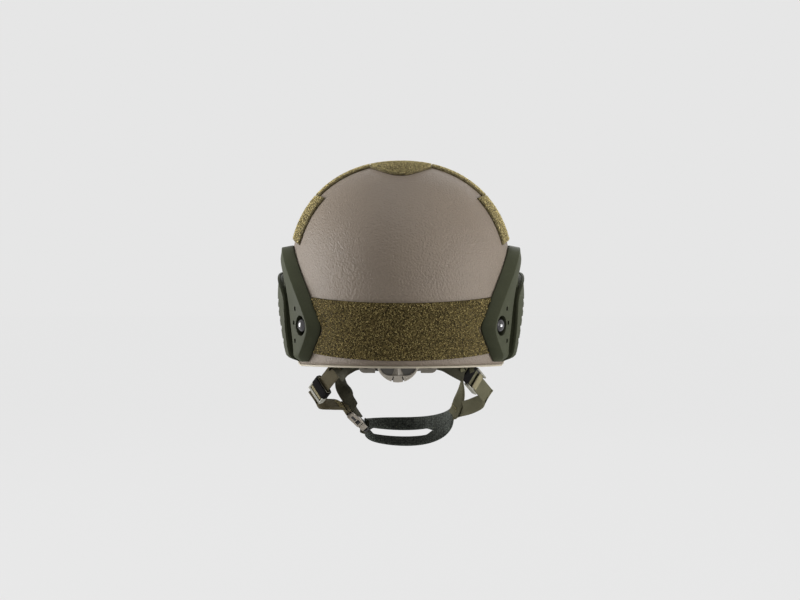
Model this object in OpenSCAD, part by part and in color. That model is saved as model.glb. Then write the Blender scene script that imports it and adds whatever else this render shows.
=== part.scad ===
// Combat helmet: high-cut shell with side rails, hook-and-loop panels, pad liner,
// nape bracket with a fit dial, and a four-point chin harness.
// Frame: origin at the dome's centre, on the level where the shell is widest.
// +Z is up, +Y is the way the wearer faces, +X is the wearer's right.
// An azimuth is counted from the rear centre line: 0 is the rear, 90 the wearer's right.

/* [Shell] */
// Half width of the shell at its widest level
shell_half_w = 112; // [108:0.5:116]
// Distance from the dome's centre to the rear of the shell
shell_rear = 134; // [130:0.5:138]
// Distance from the dome's centre to the front of the shell
shell_front = 138; // [134:0.5:142]
// Height of the crown above the dome's centre
shell_top = 112; // [108:0.5:116]
// Thickness of the shell's wall
wall = 8; // [7:0.25:9]
// Squareness of the dome: 2 is an ellipse
dome_power = 2.2; // [2.05:0.05:2.35]
// Share by which the skirt draws in at its deepest level
skirt_taper = 0.02; // [0:0.005:0.04]
// Depth of the rear rim below the dome's centre
rear_depth = 85; // [82:0.5:88]
// How much lower the rim's rear corners hang than its middle
corner_drop = 5; // [2:0.5:6]
// Depth of the ear cut below the dome's centre
ear_depth = 15; // [13:0.5:17]
// Depth of the brow rim below the dome's centre
brow_depth = 38; // [36:0.5:40]
// Height that the edge trim covers on the shell
trim_cover = 3; // [2:0.25:3.5]
// Thickness of the edge trim's lips
trim_lip = 1.1; // [0.8:0.1:1.4]

/* [Loop panels] */
// Thickness of the loop panels
loop_t = 3.2; // [2.4:0.1:3.6]
// Height of the rear loop panel
rear_loop_h = 55; // [50:1:56]
// Bare height between the rear panel and the rim
rear_loop_gap = 6.4; // [5:0.2:8]
// Half width of the crown patch
crown_patch_w = 29; // [24:0.5:29.5]
// How far the crown patch reaches behind the dome's centre
crown_patch_rear = 62; // [50:1:64]

/* [Rails] */
// Height of the rail's plate over the shell
rail_plate_h = 12; // [11:0.25:12.5]
// Height of the rail's outer lip over the shell
rail_lip_h = 14.5; // [14:0.25:15]
// Height of the channel's floor in the front arm
rail_floor_h = 7; // [6.5:0.25:7.5]
// Height of the slot's floor in the rear arm
slot_floor_h = 3.4; // [3:0.2:4]
// Depth of the channel's undercut below its lips
rail_undercut = 2.4; // [2:0.1:2.8]
// Radius of the recess round the rear bolt
recess_r = 10; // [9:0.25:10.5]
// Radius of the bolt's head
bolt_head_r = 7.4; // [6.8:0.1:7.6]
// Radius of the bolt's shank
bolt_r = 2.5; // [2.3:0.1:2.8]

/* [Shroud] */
// Half width of the front shroud plate
shroud_w = 27; // [25:0.5:29]
// Thickness of the front shroud plate
shroud_t = 6; // [5.5:0.25:6.5]
// Width of the shroud's pocket
pocket_w = 26; // [24:0.5:28]
// Height of the shroud's pocket
pocket_h = 22; // [20:0.5:24]

/* [Liner] */
// Thickness of a liner pad in its middle
pad_t = 19; // [16:0.5:21]
// Thickness of a liner pad at its edge
pad_edge_t = 11; // [8:0.5:12]
// Thickness of a hook disc
hook_t = 1.6; // [1.2:0.1:1.8]

/* [Nape bracket] */
// Radius of the fit dial
dial_r = 21; // [20:0.25:22]
// Thickness of the fit dial
dial_t = 9.5; // [8.5:0.25:10]
// Sideways place of the dial
dial_x = -3; // [-4:0.5:0]
// Depth of the dial's centre below the dome's centre
dial_depth = 80; // [78:0.5:82]
// Distance of the dial's front face behind the dome's centre
dial_back = 106; // [105:0.25:107]
// Half width of the housing
housing_w = 16; // [15:0.5:17]
// Half height of the housing
housing_h = 17; // [16:0.5:18]
// Thickness of the wings
wing_t = 3.4; // [3:0.1:3.6]
// Distance of a wing's outer end from the dial's axis
wing_reach = 38; // [36:0.5:40]
// Gear module of the dial's pinion
gear_module = 0.8; // [0.75:0.01:0.85]
// Teeth on the dial's pinion
pinion_teeth = 10; // [9:1:11]
// Radius of the dial's shaft
shaft_r = 2.5; // [2.2:0.1:2.8]

/* [Harness] */
// Width of the webbing
web_w = 16; // [14:0.5:17]
// Thickness of the webbing
web_t = 1.6; // [1.2:0.1:1.8]
// Thickness of the chin cup's bands
cup_t = 2.6; // [2:0.1:3]
// Width of each chin cup band
cup_band_w = 17; // [15:0.5:18]
// Clearance between a strap and a frame that it runs through
web_gap = 0.4; // [0.3:0.05:0.5]
// Thickness of the slider's side rails
slider_rail = 1.8; // [1.5:0.1:2.2]
// Length of the sliders along the strap
slider_len = 20; // [18:0.5:22]
// Length of the buckle's socket
socket_len = 24; // [22:0.5:25]
// Thickness of the buckle's socket
socket_t = 8; // [7.5:0.25:8.5]

/* [Hidden] */
// Clearance of a fitted piece over the surface it lies on
seat = 0.3;
// Clearance round a shaft in its bore
run = 0.05;

shell_color = [0.50, 0.45, 0.40];
loop_color = [0.38, 0.33, 0.20];
rail_color = [0.32, 0.33, 0.27];
black_color = [0.06, 0.05, 0.05];
pad_color = [0.17, 0.17, 0.15];
web_color = [0.34, 0.33, 0.25];
dial_color = [0.60, 0.56, 0.50];
cup_color = [0.14, 0.16, 0.14];

function mix(a, b, t) = a + (b - a) * t;
function clamp01(t) = min(1, max(0, t));
function ease(t) = let (c = clamp01(t)) c * c * (3 - 2 * c);
function unit(v) = v / norm(v);

// Surface of the shell
// Size of a level's outline as a share of the widest one
function level_scale(z) = z >= 0
  ? pow(1 - pow(min(1, z / shell_top), dome_power), 1 / dome_power)
  : 1 - skirt_taper * pow(z / rear_depth, 2);
function shell_point(az, z) = let (k = level_scale(z))
  [shell_half_w * k * sin(az), -(cos(az) > 0 ? shell_rear : shell_front) * k * cos(az), z];
// Point on the meridian of an azimuth, at an angle down from the crown
function meridian_point(az, angle) = angle < 90
  ? let (k = pow(sin(angle), 2 / dome_power), b = cos(az) > 0 ? shell_rear : shell_front)
    [shell_half_w * k * sin(az), -b * k * cos(az), shell_top * pow(cos(angle), 2 / dome_power)]
  : shell_point(az, -(angle - 90) * PI / 180 * shell_top);
function outline_share(p) = let (b = p.y < 0 ? shell_rear : shell_front)
  norm([p.x / shell_half_w, p.y / b]);
function surface_normal(p) = let (b = p.y < 0 ? shell_rear : shell_front, k = outline_share(p))
  p.z >= 0
  ? let (s = k < 0.0001 ? 0 : pow(k, dome_power - 2))
    unit([s * p.x / pow(shell_half_w, 2), s * p.y / pow(b, 2),
      pow(p.z, dome_power - 1) / pow(shell_top, dome_power)])
  : unit([p.x / pow(shell_half_w, 2), p.y / pow(b, 2),
      level_scale(p.z) * 2 * skirt_taper * p.z / pow(rear_depth, 2)]);
function raised(p, h) = p + surface_normal(p) * h;
// Point where the ray from the dome's centre through v meets the shell
function cast(v) = v.z >= 0
  ? v * pow(pow(outline_share(v), dome_power) + pow(v.z / shell_top, dome_power), -1 / dome_power)
  : let (first = 1 / outline_share(v), next = level_scale(v.z * first) * first)
    v * (level_scale(v.z * next) * first);

// Rim of the shell: low nape, steep edge behind the ear, high ear cut, brow
ramp_low_az = 65;
ramp_high_az = 96;
brow_start_az = 120;
brow_end_az = 158;
function rim_depth(az) = let (p = abs(az),
    nape = rear_depth + corner_drop * pow(p / ramp_low_az, 2))
  p < ramp_low_az ? nape
  : p < brow_start_az ? mix(rear_depth + corner_drop, ear_depth,
      ease((p - ramp_low_az) / (ramp_high_az - ramp_low_az)))
  : mix(ear_depth, brow_depth, ease((p - brow_start_az) / (brow_end_az - brow_start_az)));
function rim_angle(az) = 90 + rim_depth(az) / shell_top * 180 / PI;

// Columns of the shell's grid, closer together behind the ears
half_columns = concat([for (p = [0:7.5:60]) p], [for (p = [62.5:2.5:97.5]) p], [for (p = [104:8:172]) p]);
columns = concat(half_columns, [180], [for (i = [len(half_columns) - 1:-1:1]) -half_columns[i]]);
shell_rows = 16;

// Faces of a closed skin over rings of points, each ring anticlockwise seen from the end
function side_faces(rings, points, closed) = [
  for (i = [0:rings - (closed ? 1 : 2)], j = [0:points - 1])
    let (n = (i + 1) % rings, k = (j + 1) % points,
      a = i * points + j, b = i * points + k, c = n * points + k, d = n * points + j)
    each [[a, d, c], [a, c, b]]];
module ring_solid(rings, closed = false) {
  count = len(rings);
  points = len(rings[0]);
  caps = closed ? [] : [[for (j = [0:points - 1]) j],
    [for (j = [points - 1:-1:0]) (count - 1) * points + j]];
  polyhedron(points = [for (ring = rings) each ring],
    faces = concat(side_faces(count, points, closed), caps), convexity = 8);
}

// Closed solid between an outer and an inner grid of points, less the cells left out
module grid_solid(outer, inner, present = function (i, j) true) {
  rows = len(outer);
  cols = len(outer[0]);
  half = rows * cols;
  function here(i, j) = i >= 0 && j >= 0 && i < rows - 1 && j < cols - 1 && present(i, j);
  faces = [for (i = [0:rows - 2], j = [0:cols - 2])
    if (here(i, j))
      let (a = i * cols + j, b = a + 1, d = a + cols, c = d + 1)
      each concat(
        [[a, b, c], [a, c, d], [a + half, c + half, b + half], [a + half, d + half, c + half]],
        here(i - 1, j) ? [] : [[b, a, a + half], [b, a + half, b + half]],
        here(i, j + 1) ? [] : [[c, b, b + half], [c, b + half, c + half]],
        here(i + 1, j) ? [] : [[d, c, c + half], [d, c + half, d + half]],
        here(i, j - 1) ? [] : [[a, d, d + half], [a, d + half, a + half]])];
  polyhedron(points = [for (grid = [outer, inner], row = grid) each row], faces = faces, convexity = 8);
}

function raised_grid(grid, h) = [for (row = grid) [for (p = row) raised(p, h)]];
module surface_sheet(grid, low, high) {
  grid_solid(raised_grid(grid, high), raised_grid(grid, low));
}
// Grid of shell points inside four corners: first row runs from a to b, last from d to c
function corner_grid(a, b, c, d, rows, cols) = [for (i = [0:rows]) [for (j = [0:cols])
  cast(mix(mix(a, b, j / cols), mix(d, c, j / cols), i / rows))]];

// Puts children on the shell, with their Z along its normal
module on_shell(az, z) {
  p = shell_point(az, z);
  n = surface_normal(p);
  translate(p) rotate([0, acos(n.z), atan2(n.y, n.x)]) children();
}

// Puts children at a place, with their X and Z along two directions square to each other
module in_frame(place, along, normal) {
  across = cross(normal, along);
  translate(place)
    rotate([atan2(across.z, normal.z), -asin(along.z), atan2(along.y, along.x)])
      children();
}

// Smooth curve through rows of numbers
function curve_row(rows, i) = rows[min(len(rows) - 1, max(0, i))];
function curve_at(rows, s) = let (i = min(floor(s), len(rows) - 2), t = s - i,
    a = curve_row(rows, i - 1), b = curve_row(rows, i), c = curve_row(rows, i + 1), d = curve_row(rows, i + 2))
  0.5 * (2 * b + (c - a) * t + (2 * a - 5 * b + 4 * c - d) * t * t + (3 * b - 3 * c + d - a) * t * t * t);

// Places of the bolts: azimuth and height
rear_bolt = [53, -48];
front_bolt = [132, -4];
shroud_bolt = [180, 2];
rail_seat_h = 4.4;
tab_t = 1.8;
nut_t = 2.2;
bolt_clear_r = bolt_r + run;
// A flat tab stands off the curved wall by this much in its middle
tab_seat = 0.9;
tab_depth = wall + tab_seat;
nut_gap = 0.1;
nut_depth = tab_depth + tab_t + nut_gap;

module shell_bore(spot) {
  on_shell(spot[0], spot[1]) translate([0, 0, -wall - 3]) cylinder(r = bolt_clear_r, h = wall + 6, $fn = 32);
}

module shell() color(shell_color) difference() {
  shell_body();
  for (side = [-1, 1]) {
    shell_bore([side * rear_bolt[0], rear_bolt[1]]);
    shell_bore([side * front_bolt[0], front_bolt[1]]);
  }
  shell_bore(shroud_bolt);
}

module shell_body() {
  count = len(columns);
  loop = 2 * shell_rows;
  rings = [for (az = columns) let (
      outer = [for (j = [1:shell_rows]) meridian_point(az, rim_angle(az) * j / shell_rows)])
    concat(outer, [for (j = [shell_rows - 1:-1:0]) raised(outer[j], -wall)])];
  poles = [[0, 0, shell_top], [0, 0, shell_top - wall]];
  sides = [for (i = [0:count - 1], j = [0:loop - 2])
    let (n = (i + 1) % count, a = i * loop + j, b = a + 1, d = n * loop + j, c = d + 1)
    each [[a, d, c], [a, c, b]]];
  fans = [for (i = [0:count - 1]) let (n = (i + 1) % count)
    each [[count * loop, n * loop, i * loop],
      [i * loop + loop - 1, n * loop + loop - 1, count * loop + 1]]];
  polyhedron(points = concat([for (ring = rings) each ring], poles),
    faces = concat(sides, fans), convexity = 6);
}

// Rubber trim: a channel that grips the rim, swept round it
module edge_trim() color(shell_color) {
  inside = wall + 1.5 * seat;
  outline = [[-trim_lip - seat, -trim_lip], [inside + trim_lip, -trim_lip], [inside + trim_lip, trim_cover],
    [inside, trim_cover], [inside, -seat], [-seat, -seat], [-seat, trim_cover], [-trim_lip - seat, trim_cover]];
  ring_solid([for (az = columns) [for (q = outline)
    raised(meridian_point(az, rim_angle(az) - q[1] / shell_top * 180 / PI), -q[0])]], closed = true);
}

// Loop panels
rear_loop_columns = 26;
// The rear panel stops short of the rail's pointed edge
function rail_edge_az(z) = let (t = (z - rail_rows[3][1]) / (z > rail_rows[3][1]
    ? rail_rows[5][1] - rail_rows[3][1] : rail_rows[1][1] - rail_rows[3][1]))
  mix(rail_rows[3][0], z > rail_rows[3][1] ? rail_rows[5][0] : rail_rows[1][0], t);
function rear_loop_az(z) = rail_edge_az(z) - 1.6;

module rear_loop_panel() color(loop_color) {
  rows = 6;
  bottom = -rear_depth + rear_loop_gap;
  surface_sheet([for (i = [0:rear_loop_columns]) let (u = i / rear_loop_columns * 2 - 1)
    [for (j = [0:rows]) let (z = bottom + rear_loop_h * j / rows + 3 * u * u)
      shell_point(u * rear_loop_az(z), z)]], seat, seat + loop_t);
}
module crown_loop_patch() color(loop_color) {
  w = crown_patch_w;
  surface_sheet(corner_grid([-w, -crown_patch_rear, 101], [-w, 44, 104], [w, 44, 104],
    [w, -crown_patch_rear, 101], 8, 10), seat, seat + loop_t);
}
module front_loop_panel() color(loop_color) {
  surface_sheet(corner_grid([40, 104, 38], [28, 70, 88], [-28, 70, 88], [-40, 104, 38], 10, 6),
    seat, seat + loop_t);
}
// Gap between the crown patch and the upper side panels
panel_gap = 3.5;
module upper_loop() {
  inner = crown_patch_w + panel_gap;
  surface_sheet(corner_grid([inner, -14, 107], [inner, 52, 98], [80, 40, 72], [84, -14, 75], 7, 6),
    seat, seat + loop_t);
}
module side_loop() {
  surface_sheet(corner_grid([80, -60, 66], [92, 44, 66], [106, 52, 36], [98, -62, 32], 4, 9),
    seat, seat + loop_t);
}
module right_upper_loop() color(loop_color) upper_loop();
module left_upper_loop() color(loop_color) mirror([1, 0, 0]) upper_loop();
module right_side_loop() color(loop_color) side_loop();
module left_side_loop() color(loop_color) mirror([1, 0, 0]) side_loop();

// Side rails
// Each row crosses the rail: azimuth and height of its rear edge, azimuth and height of its
// ear edge, shares of that way at the ridge, the plate's edge and the lip's edge,
// then how far the channel is undercut and how deep it is cut, both as shares
rail_rows = [
  [55.0, -84.4, 62.5, -84.9, 0.30, 0.56, 0.66, 0, 0.00],
  [52.5, -79.0, 66.0, -81.0, 0.24, 0.56, 0.68, 0, 0.05],
  [49.0, -69.5, 69.5, -72.0, 0.16, 0.54, 0.74, 0, 1.00],
  [43.6, -51.0, 74.5, -53.0, 0.13, 0.58, 0.74, 0, 1.00],
  [47.0, -34.5, 79.5, -38.0, 0.11, 0.49, 0.62, 0, 1.00],
  [53.5, -15.5, 84.5, -25.0, 0.10, 0.39, 0.50, 0, 0.90],
  [60.0, 0.5, 90.0, -15.0, 0.10, 0.33, 0.62, 0.2, 0.80],
  [68.0, 15.5, 96.5, -9.8, 0.10, 0.31, 0.72, 0.8, 1.00],
  [78.0, 26.5, 103.5, -9.0, 0.10, 0.32, 0.75, 1, 1.00],
  [91.0, 28.0, 110.5, -9.0, 0.10, 0.32, 0.76, 1, 1.00],
  [105.0, 25.0, 118.5, -9.5, 0.11, 0.33, 0.76, 1, 1.00],
  [120.0, 18.0, 128.0, -11.5, 0.12, 0.35, 0.75, 1, 1.00],
  [134.0, 9.5, 137.0, -15.5, 0.16, 0.40, 0.72, 0.2, 1.00],
  [141.0, 2.0, 141.8, -15.5, 0.22, 0.45, 0.62, 0, 0.00]];
rail_steps = 3;
// Row from which the front arm's shallower channel takes over from the slot
channel_row = 6.5;
rail_under_points = 6;

function rail_ring(s) = let (
    row = curve_at(rail_rows, s),
    from = [row[0], row[1]],
    to = [row[2], row[3]],
    width = norm(shell_point(from[0], from[1]) - shell_point(to[0], to[1])),
    end = ease(min(s, len(rail_rows) - 1 - s) / 1.4),
    plate = mix(5.5, rail_plate_h, end),
    lip = mix(5.5, rail_lip_h, end),
    cut = clamp01(row[8]),
    deep = mix(slot_floor_h, rail_floor_h, ease(s - channel_row + 0.5)),
    floor_h = mix(min(plate, lip) - 0.3, deep, cut),
    hook = min(3.2, (min(plate, lip) - floor_h) / 2),
    under = max(0.25, clamp01(row[7]) * rail_undercut) / width,
    edge = min(0.2, 2 / width),
    outline = concat([[0, seat + 0.2], [0, 1.8], [row[4], plate], [row[5], plate], [row[5], plate - hook],
      [row[5] - under, plate - hook], [row[5] - under, floor_h], [row[6] + under, floor_h],
      [row[6] + under, lip - hook], [row[6], lip - hook], [row[6], lip], [1 - edge, lip],
      [1, lip - 2.2], [1, seat + 0.2]],
      [for (i = [1:rail_under_points]) [1 - i / (rail_under_points + 1), seat + 0.2]]))
  [for (q = outline) let (spot = mix(from, to, q[0])) raised(shell_point(spot[0], spot[1]), q[1])];

// Notches along the lip, and small pockets in the plate
notch_rows = [2.4, 3.0, 3.6, 4.2, 4.8];
pocket_spots = [[57.5, -32], [59, -46], [58, -63.5]];

module rail() difference() {
  union() {
    ring_solid([for (i = [0:(len(rail_rows) - 1) * rail_steps]) rail_ring(i / rail_steps)]);
    rail_truss();
  }
  on_shell(rear_bolt[0], rear_bolt[1]) {
    translate([0, 0, rail_seat_h]) cylinder(r = recess_r, h = 20, $fn = 48);
    translate([0, 0, -1]) cylinder(r = bolt_clear_r, h = 20, $fn = 32);
  }
  on_shell(front_bolt[0], front_bolt[1]) {
    translate([0, 0, rail_seat_h]) cylinder(r = bolt_head_r + 0.5, h = 20, $fn = 48);
    translate([0, 0, -1]) cylinder(r = bolt_clear_r, h = 20, $fn = 32);
  }
  for (spot = pocket_spots)
    on_shell(spot[0], spot[1]) translate([-2, -1.6, rail_plate_h - 4]) cube([4, 3.2, 10]);
  for (s = notch_rows) {
    row = curve_at(rail_rows, s);
    on_shell(mix(row[2], row[0], 0.03), mix(row[3], row[1], 0.03))
      translate([-1.8, -3, rail_lip_h - 1.4]) cube([3.6, 8, 6]);
  }
}
// Crossed ribs on the channel's floor, where the rail bends over the ear
module rail_truss() {
  for (turn = [-30, 30])
    on_shell(75, -8) rotate([0, 0, turn]) translate([-6.5, -1, 2]) cube([13, 2, rail_plate_h - 4.5]);
}
module right_rail() color(rail_color) rail();
module left_rail() color(rail_color) mirror([1, 0, 0]) rail();

// Bolts, nuts and strap anchors
module bolt(head_h) {
  dome_r = 10.5;
  difference() {
    union() {
      translate([0, 0, rail_seat_h + 0.1]) cylinder(r = bolt_head_r, h = 1.6, $fn = 48);
      intersection() {
        translate([0, 0, rail_seat_h + 1.7]) cylinder(r = bolt_head_r, h = head_h, $fn = 48);
        translate([0, 0, rail_seat_h + 1.7 + head_h - dome_r]) sphere(r = dome_r, $fn = 64);
      }
      translate([0, 0, -nut_depth - nut_t])
        cylinder(r = bolt_r, h = nut_depth + nut_t + rail_seat_h + 1, $fn = 32);
    }
    for (turn = [0, 90]) rotate([0, 0, turn])
      translate([-4, -0.7, rail_seat_h + head_h - 0.2]) cube([8, 1.4, 6]);
  }
}
module at_bolts() for (side = [0, 1]) mirror([side, 0, 0]) {
  on_shell(rear_bolt[0], rear_bolt[1]) children();
  on_shell(front_bolt[0], front_bolt[1]) children();
}
module rail_bolts() color(black_color) for (side = [0, 1]) mirror([side, 0, 0]) {
  on_shell(rear_bolt[0], rear_bolt[1]) bolt(3);
  on_shell(front_bolt[0], front_bolt[1]) bolt(2);
}
nut_r = 7;
module nut(r) difference() {
  cylinder(r = r, h = nut_t, $fn = 48);
  translate([0, 0, -1]) cylinder(r = bolt_clear_r, h = nut_t + 2, $fn = 32);
}
module rail_nuts() color(black_color) at_bolts() translate([0, 0, -nut_depth - nut_t]) nut(nut_r);

// A strap end sewn round a bar that lies along Y: the loop, and a tail that runs towards X
loop_gap = 0.3;
module web_loop(bar_w, bar_t, tail) {
  half_x = bar_w / 2 + loop_gap;
  half_z = bar_t / 2 + loop_gap;
  tip = web_t / 2 - 0.25;
  rotate([90, 0, 0]) linear_extrude(web_w - 0.5, center = true) difference() {
    union() {
      rounded_box(half_x + web_t, half_z + web_t, 1.5);
      polygon([[half_x, half_z + web_t], [half_x, -half_z - web_t], [half_x + tail, -tip],
        [half_x + tail, tip]]);
    }
    square([2 * half_x, 2 * half_z], center = true);
  }
}

// An anchor: a disc under the nut, and an arm set further in that ends in a bar for the strap
anchor_len = 21;
anchor_half = 11;
anchor_bar_w = 3;
anchor_slot_w = 4;
web_slot_half = web_w / 2 + 0.6;
arm_depth = tab_depth + trim_lip + 2 * loop_gap + web_t;
module anchor_tab() difference() {
  union() {
    translate([0, 0, -tab_depth - tab_t]) cylinder(r = 9, h = tab_t, $fn = 48);
    translate([nut_r + 0.4, -anchor_half, -arm_depth - tab_t]) cube([2, 2 * anchor_half, arm_depth - tab_depth + tab_t]);
    translate([nut_r + 0.4, -anchor_half, -arm_depth - tab_t])
      cube([anchor_len - nut_r - 0.4, 2 * anchor_half, tab_t]);
  }
  translate([0, 0, -tab_depth - tab_t - 1]) cylinder(r = bolt_clear_r, h = tab_t + 2, $fn = 32);
  translate([anchor_len - anchor_bar_w - anchor_slot_w, -web_slot_half, -arm_depth - tab_t - 1])
    cube([anchor_slot_w, 2 * web_slot_half, tab_t + 2]);
}
anchor_tail = 6;
// Length by which a strap runs into the tail of its loop
tail_overlap = 2.5;
module anchor_loop(side, spot) on_shell(side * spot[0], spot[1])
  translate([anchor_len - anchor_bar_w / 2, 0, -arm_depth - tab_t / 2])
    web_loop(anchor_bar_w, tab_t, anchor_tail);
// Where the loop's tail ends, and the way down along the shell there
function anchor_down(side, spot) = let (n = surface_normal(shell_point(side * spot[0], spot[1])))
  unit(cross(n, cross([0, 0, 1], n)) * -1);
function anchor_end(side, spot, more) = let (p = shell_point(side * spot[0], spot[1]))
  p + anchor_down(side, spot) * (anchor_len + loop_gap + anchor_tail + more)
    - surface_normal(p) * (arm_depth + tab_t / 2);
module strap_anchors() color(black_color) at_bolts() anchor_tab();

// Front shroud: a plate with a pocket for an accessory's foot, held by one screw
shroud_low = -26;
shroud_high = 27;
shroud_nut_r = 6;
shroud_nut_depth = wall + 1.1;
module shroud() color(rail_color) difference() {
  surface_sheet(corner_grid([shroud_w, 130, shroud_low], [shroud_w - 7, 128, shroud_high],
    [7 - shroud_w, 128, shroud_high], [-shroud_w, 130, shroud_low], 10, 8), seat, seat + shroud_t);
  on_shell(shroud_bolt[0], shroud_bolt[1]) {
    translate([-pocket_h / 2, -pocket_w / 2, 2.6]) cube([pocket_h, pocket_w, 20]);
    translate([0, 0, -2]) cylinder(r = bolt_clear_r, h = 10, $fn = 32);
  }
}
module shroud_screw() color(black_color) on_shell(shroud_bolt[0], shroud_bolt[1]) difference() {
  union() {
    translate([0, 0, 2.7]) cylinder(r = 5, h = 1.8, $fn = 48);
    translate([0, 0, -shroud_nut_depth - nut_t])
      cylinder(r = bolt_r, h = shroud_nut_depth + nut_t + 3.4, $fn = 32);
  }
  translate([-3.4, -0.6, 3.6]) cube([6.8, 1.2, 3]);
}
module shroud_nut() color(black_color) on_shell(shroud_bolt[0], shroud_bolt[1])
  translate([0, 0, -shroud_nut_depth - nut_t]) nut(shroud_nut_r);

// Liner pads
// Each pad: the way its middle lies from the dome's centre, half width, half height, roundness,
// then the way to its hook disc
pad_rows = [
  [[0, 8, 100], 60, 60, 0.9, [0, 8, 100]],
  [[0, 130, 0], 58, 25, 0.45, [40, 122, 4]],
  [[0, -128, 0], 58, 33, 0.45, [0, -128, 0]],
  [[-88, 70, 40], 31, 36, 0.45, [-88, 70, 40]],
  [[-98, -52, 34], 32, 37, 0.45, [-98, -52, 34]],
  [[88, 70, 40], 31, 36, 0.45, [88, 70, 40]],
  [[98, -52, 34], 32, 37, 0.45, [98, -52, 34]]];
pad_cells = 8;
hook_r = 18;
// Point of a pad's outline: a square grid drawn towards a disc by the pad's roundness
function pad_spot(pad, u, v) = let (
    middle = cast(pad[0]),
    normal = surface_normal(middle),
    side = abs(normal.z) > 0.9 ? [1, 0, 0] : unit(cross([0, 0, 1], normal)),
    up = cross(normal, side),
    x = mix(u, u * sqrt(1 - v * v / 2), pad[3]),
    y = mix(v, v * sqrt(1 - u * u / 2), pad[3]))
  cast(middle + side * (x * pad[1]) + up * (y * pad[2]));
function pad_grid(pad, low, swell, draw, cells) = [for (i = [0:cells]) [for (j = [0:cells])
  let (u = 2 * i / cells - 1, v = 2 * j / cells - 1,
    bulge = pow((1 - pow(u, 4)) * (1 - pow(v, 4)), 0.4))
  raised(pad_spot(pad, u * draw, v * draw), -low - swell * bulge)]];
hook_gap = 0.6;
pad_base = wall + hook_gap + hook_t + seat;
module liner_pad(index) color(pad_color) {
  pad = pad_rows[index];
  grid_solid(pad_grid(pad, pad_base, 0, 0.95, pad_cells),
    pad_grid(pad, pad_base + pad_edge_t, pad_t - pad_edge_t, 0.93, pad_cells));
}
module hook_discs() color(black_color) for (pad = pad_rows) {
  disc = [pad[4], hook_r, hook_r, 1];
  grid_solid(pad_grid(disc, wall + hook_gap, 0, 1, 6), pad_grid(disc, wall + hook_gap + hook_t, 0, 1, 6));
}
module crown_pad() liner_pad(0);
// The front pad gives way round the nut of the shroud's screw
module front_pad() color(pad_color) difference() {
  liner_pad(1);
  on_shell(shroud_bolt[0], shroud_bolt[1]) translate([0, 0, -shroud_nut_depth - nut_t - 0.4])
    cylinder(r = shroud_nut_r + 0.6, h = nut_t + 4, $fn = 32);
}
module rear_pad() liner_pad(2);
module left_front_pad() liner_pad(3);
module left_rear_pad() liner_pad(4);
module right_front_pad() liner_pad(5);
module right_rear_pad() liner_pad(6);

// Nape bracket
dial_z = -dial_depth;
// Solid of a flat outline that lies square to the dial's axis: front face at y, t thick rearwards
module slab(y, t) translate([dial_x, -y, dial_z]) rotate([90, 0, 0]) linear_extrude(t) children();

// The dial's recess swells into three bays, with two grip notches at each of the narrow places
bay_r = 19;
bay_waist_r = 14;
function bay_radius(a) = bay_waist_r + (bay_r - bay_waist_r) * (1 - cos(3 * a)) / 2;
module dial_outline() difference() {
  circle(r = dial_r, $fn = 96);
  for (lobe = [0:2], side = [-1, 1])
    rotate(lobe * 120 - 90 + side * 15.5) translate([bay_waist_r + 1.2, -0.6]) square([dial_r, 1.2]);
}
dial_recess = 3.2;
knob_bore_r = shaft_r + 0.02;
module dial_knob() color(dial_color) difference() {
  union() {
    slab(dial_back, dial_t - dial_recess) dial_outline();
    slab(dial_back + dial_t - dial_recess, dial_recess) difference() {
      dial_outline();
      polygon([for (a = [0:6:354]) bay_radius(a) * [cos(a - 90), sin(a - 90)]]);
    }
  }
  slab(dial_back - 1, dial_t + 2) circle(r = knob_bore_r, $fn = 32);
}

// Pinion on the dial's shaft, and the rack teeth that it drives
pitch_r = gear_module * pinion_teeth / 2;
tooth_up = gear_module * 0.72;
tooth_down = gear_module * 1.1;
tooth_pitch = PI * gear_module;
tooth_mid = tooth_pitch / 2 - 0.34;
module pinion_outline() {
  circle(r = pitch_r - tooth_down, $fn = 48);
  for (i = [0:pinion_teeth - 1]) rotate(i * 360 / pinion_teeth)
    polygon([[0, -tooth_mid * 0.75], [pitch_r - tooth_down, -tooth_mid * 0.68], [pitch_r, -tooth_mid / 2],
      [pitch_r + tooth_up, -tooth_mid * 0.2], [pitch_r + tooth_up, tooth_mid * 0.2], [pitch_r, tooth_mid / 2],
      [pitch_r - tooth_down, tooth_mid * 0.68], [0, tooth_mid * 0.75]]);
}
// Layers of the bracket, counted rearwards from the wearer's side
front_plate_t = 2.6;
cavity_t = wing_t + 0.6;
back_plate_t = 2;
housing_front = dial_back - 0.3 - back_plate_t - cavity_t - front_plate_t;
wing_front = housing_front + front_plate_t + 0.3;
module dial_shaft() color(black_color) {
  slab(housing_front + 0.8, dial_back + dial_t - dial_recess - housing_front)
    circle(r = shaft_r, $fn = 32);
  slab(wing_front, wing_t) pinion_outline();
  slab(dial_back + dial_t - dial_recess + 0.1, 1.2) circle(r = 5, $fn = 48);
}
arm_h = 5.6;
arm_tip = 9;
channel_gap = 0.3;
arm_low = pitch_r + tooth_down;
cavity_h = arm_low + arm_h + channel_gap;
module rounded_box(w, h, r) {
  for (x = [-1, 1], y = [-1, 1]) translate([x * (w - r), y * (h - r)]) circle(r = r, $fn = 32);
  square([2 * w - 2 * r, 2 * h], center = true);
  square([2 * w, 2 * h - 2 * r], center = true);
}
module nape_housing() color(dial_color) difference() {
  slab(housing_front, front_plate_t + cavity_t + back_plate_t) rounded_box(housing_w, housing_h, 5);
  slab(housing_front + front_plate_t, cavity_t) square([2 * housing_w + 2, 2 * cavity_h], center = true);
  slab(housing_front + 0.6, 20) circle(r = shaft_r + run, $fn = 32);
}
// A wing: a rack arm inside the housing and an outer plate with a strap slot
wing_h = 13;
wing_shoulder = housing_w + 6;
roller_r = 2.6;
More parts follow.
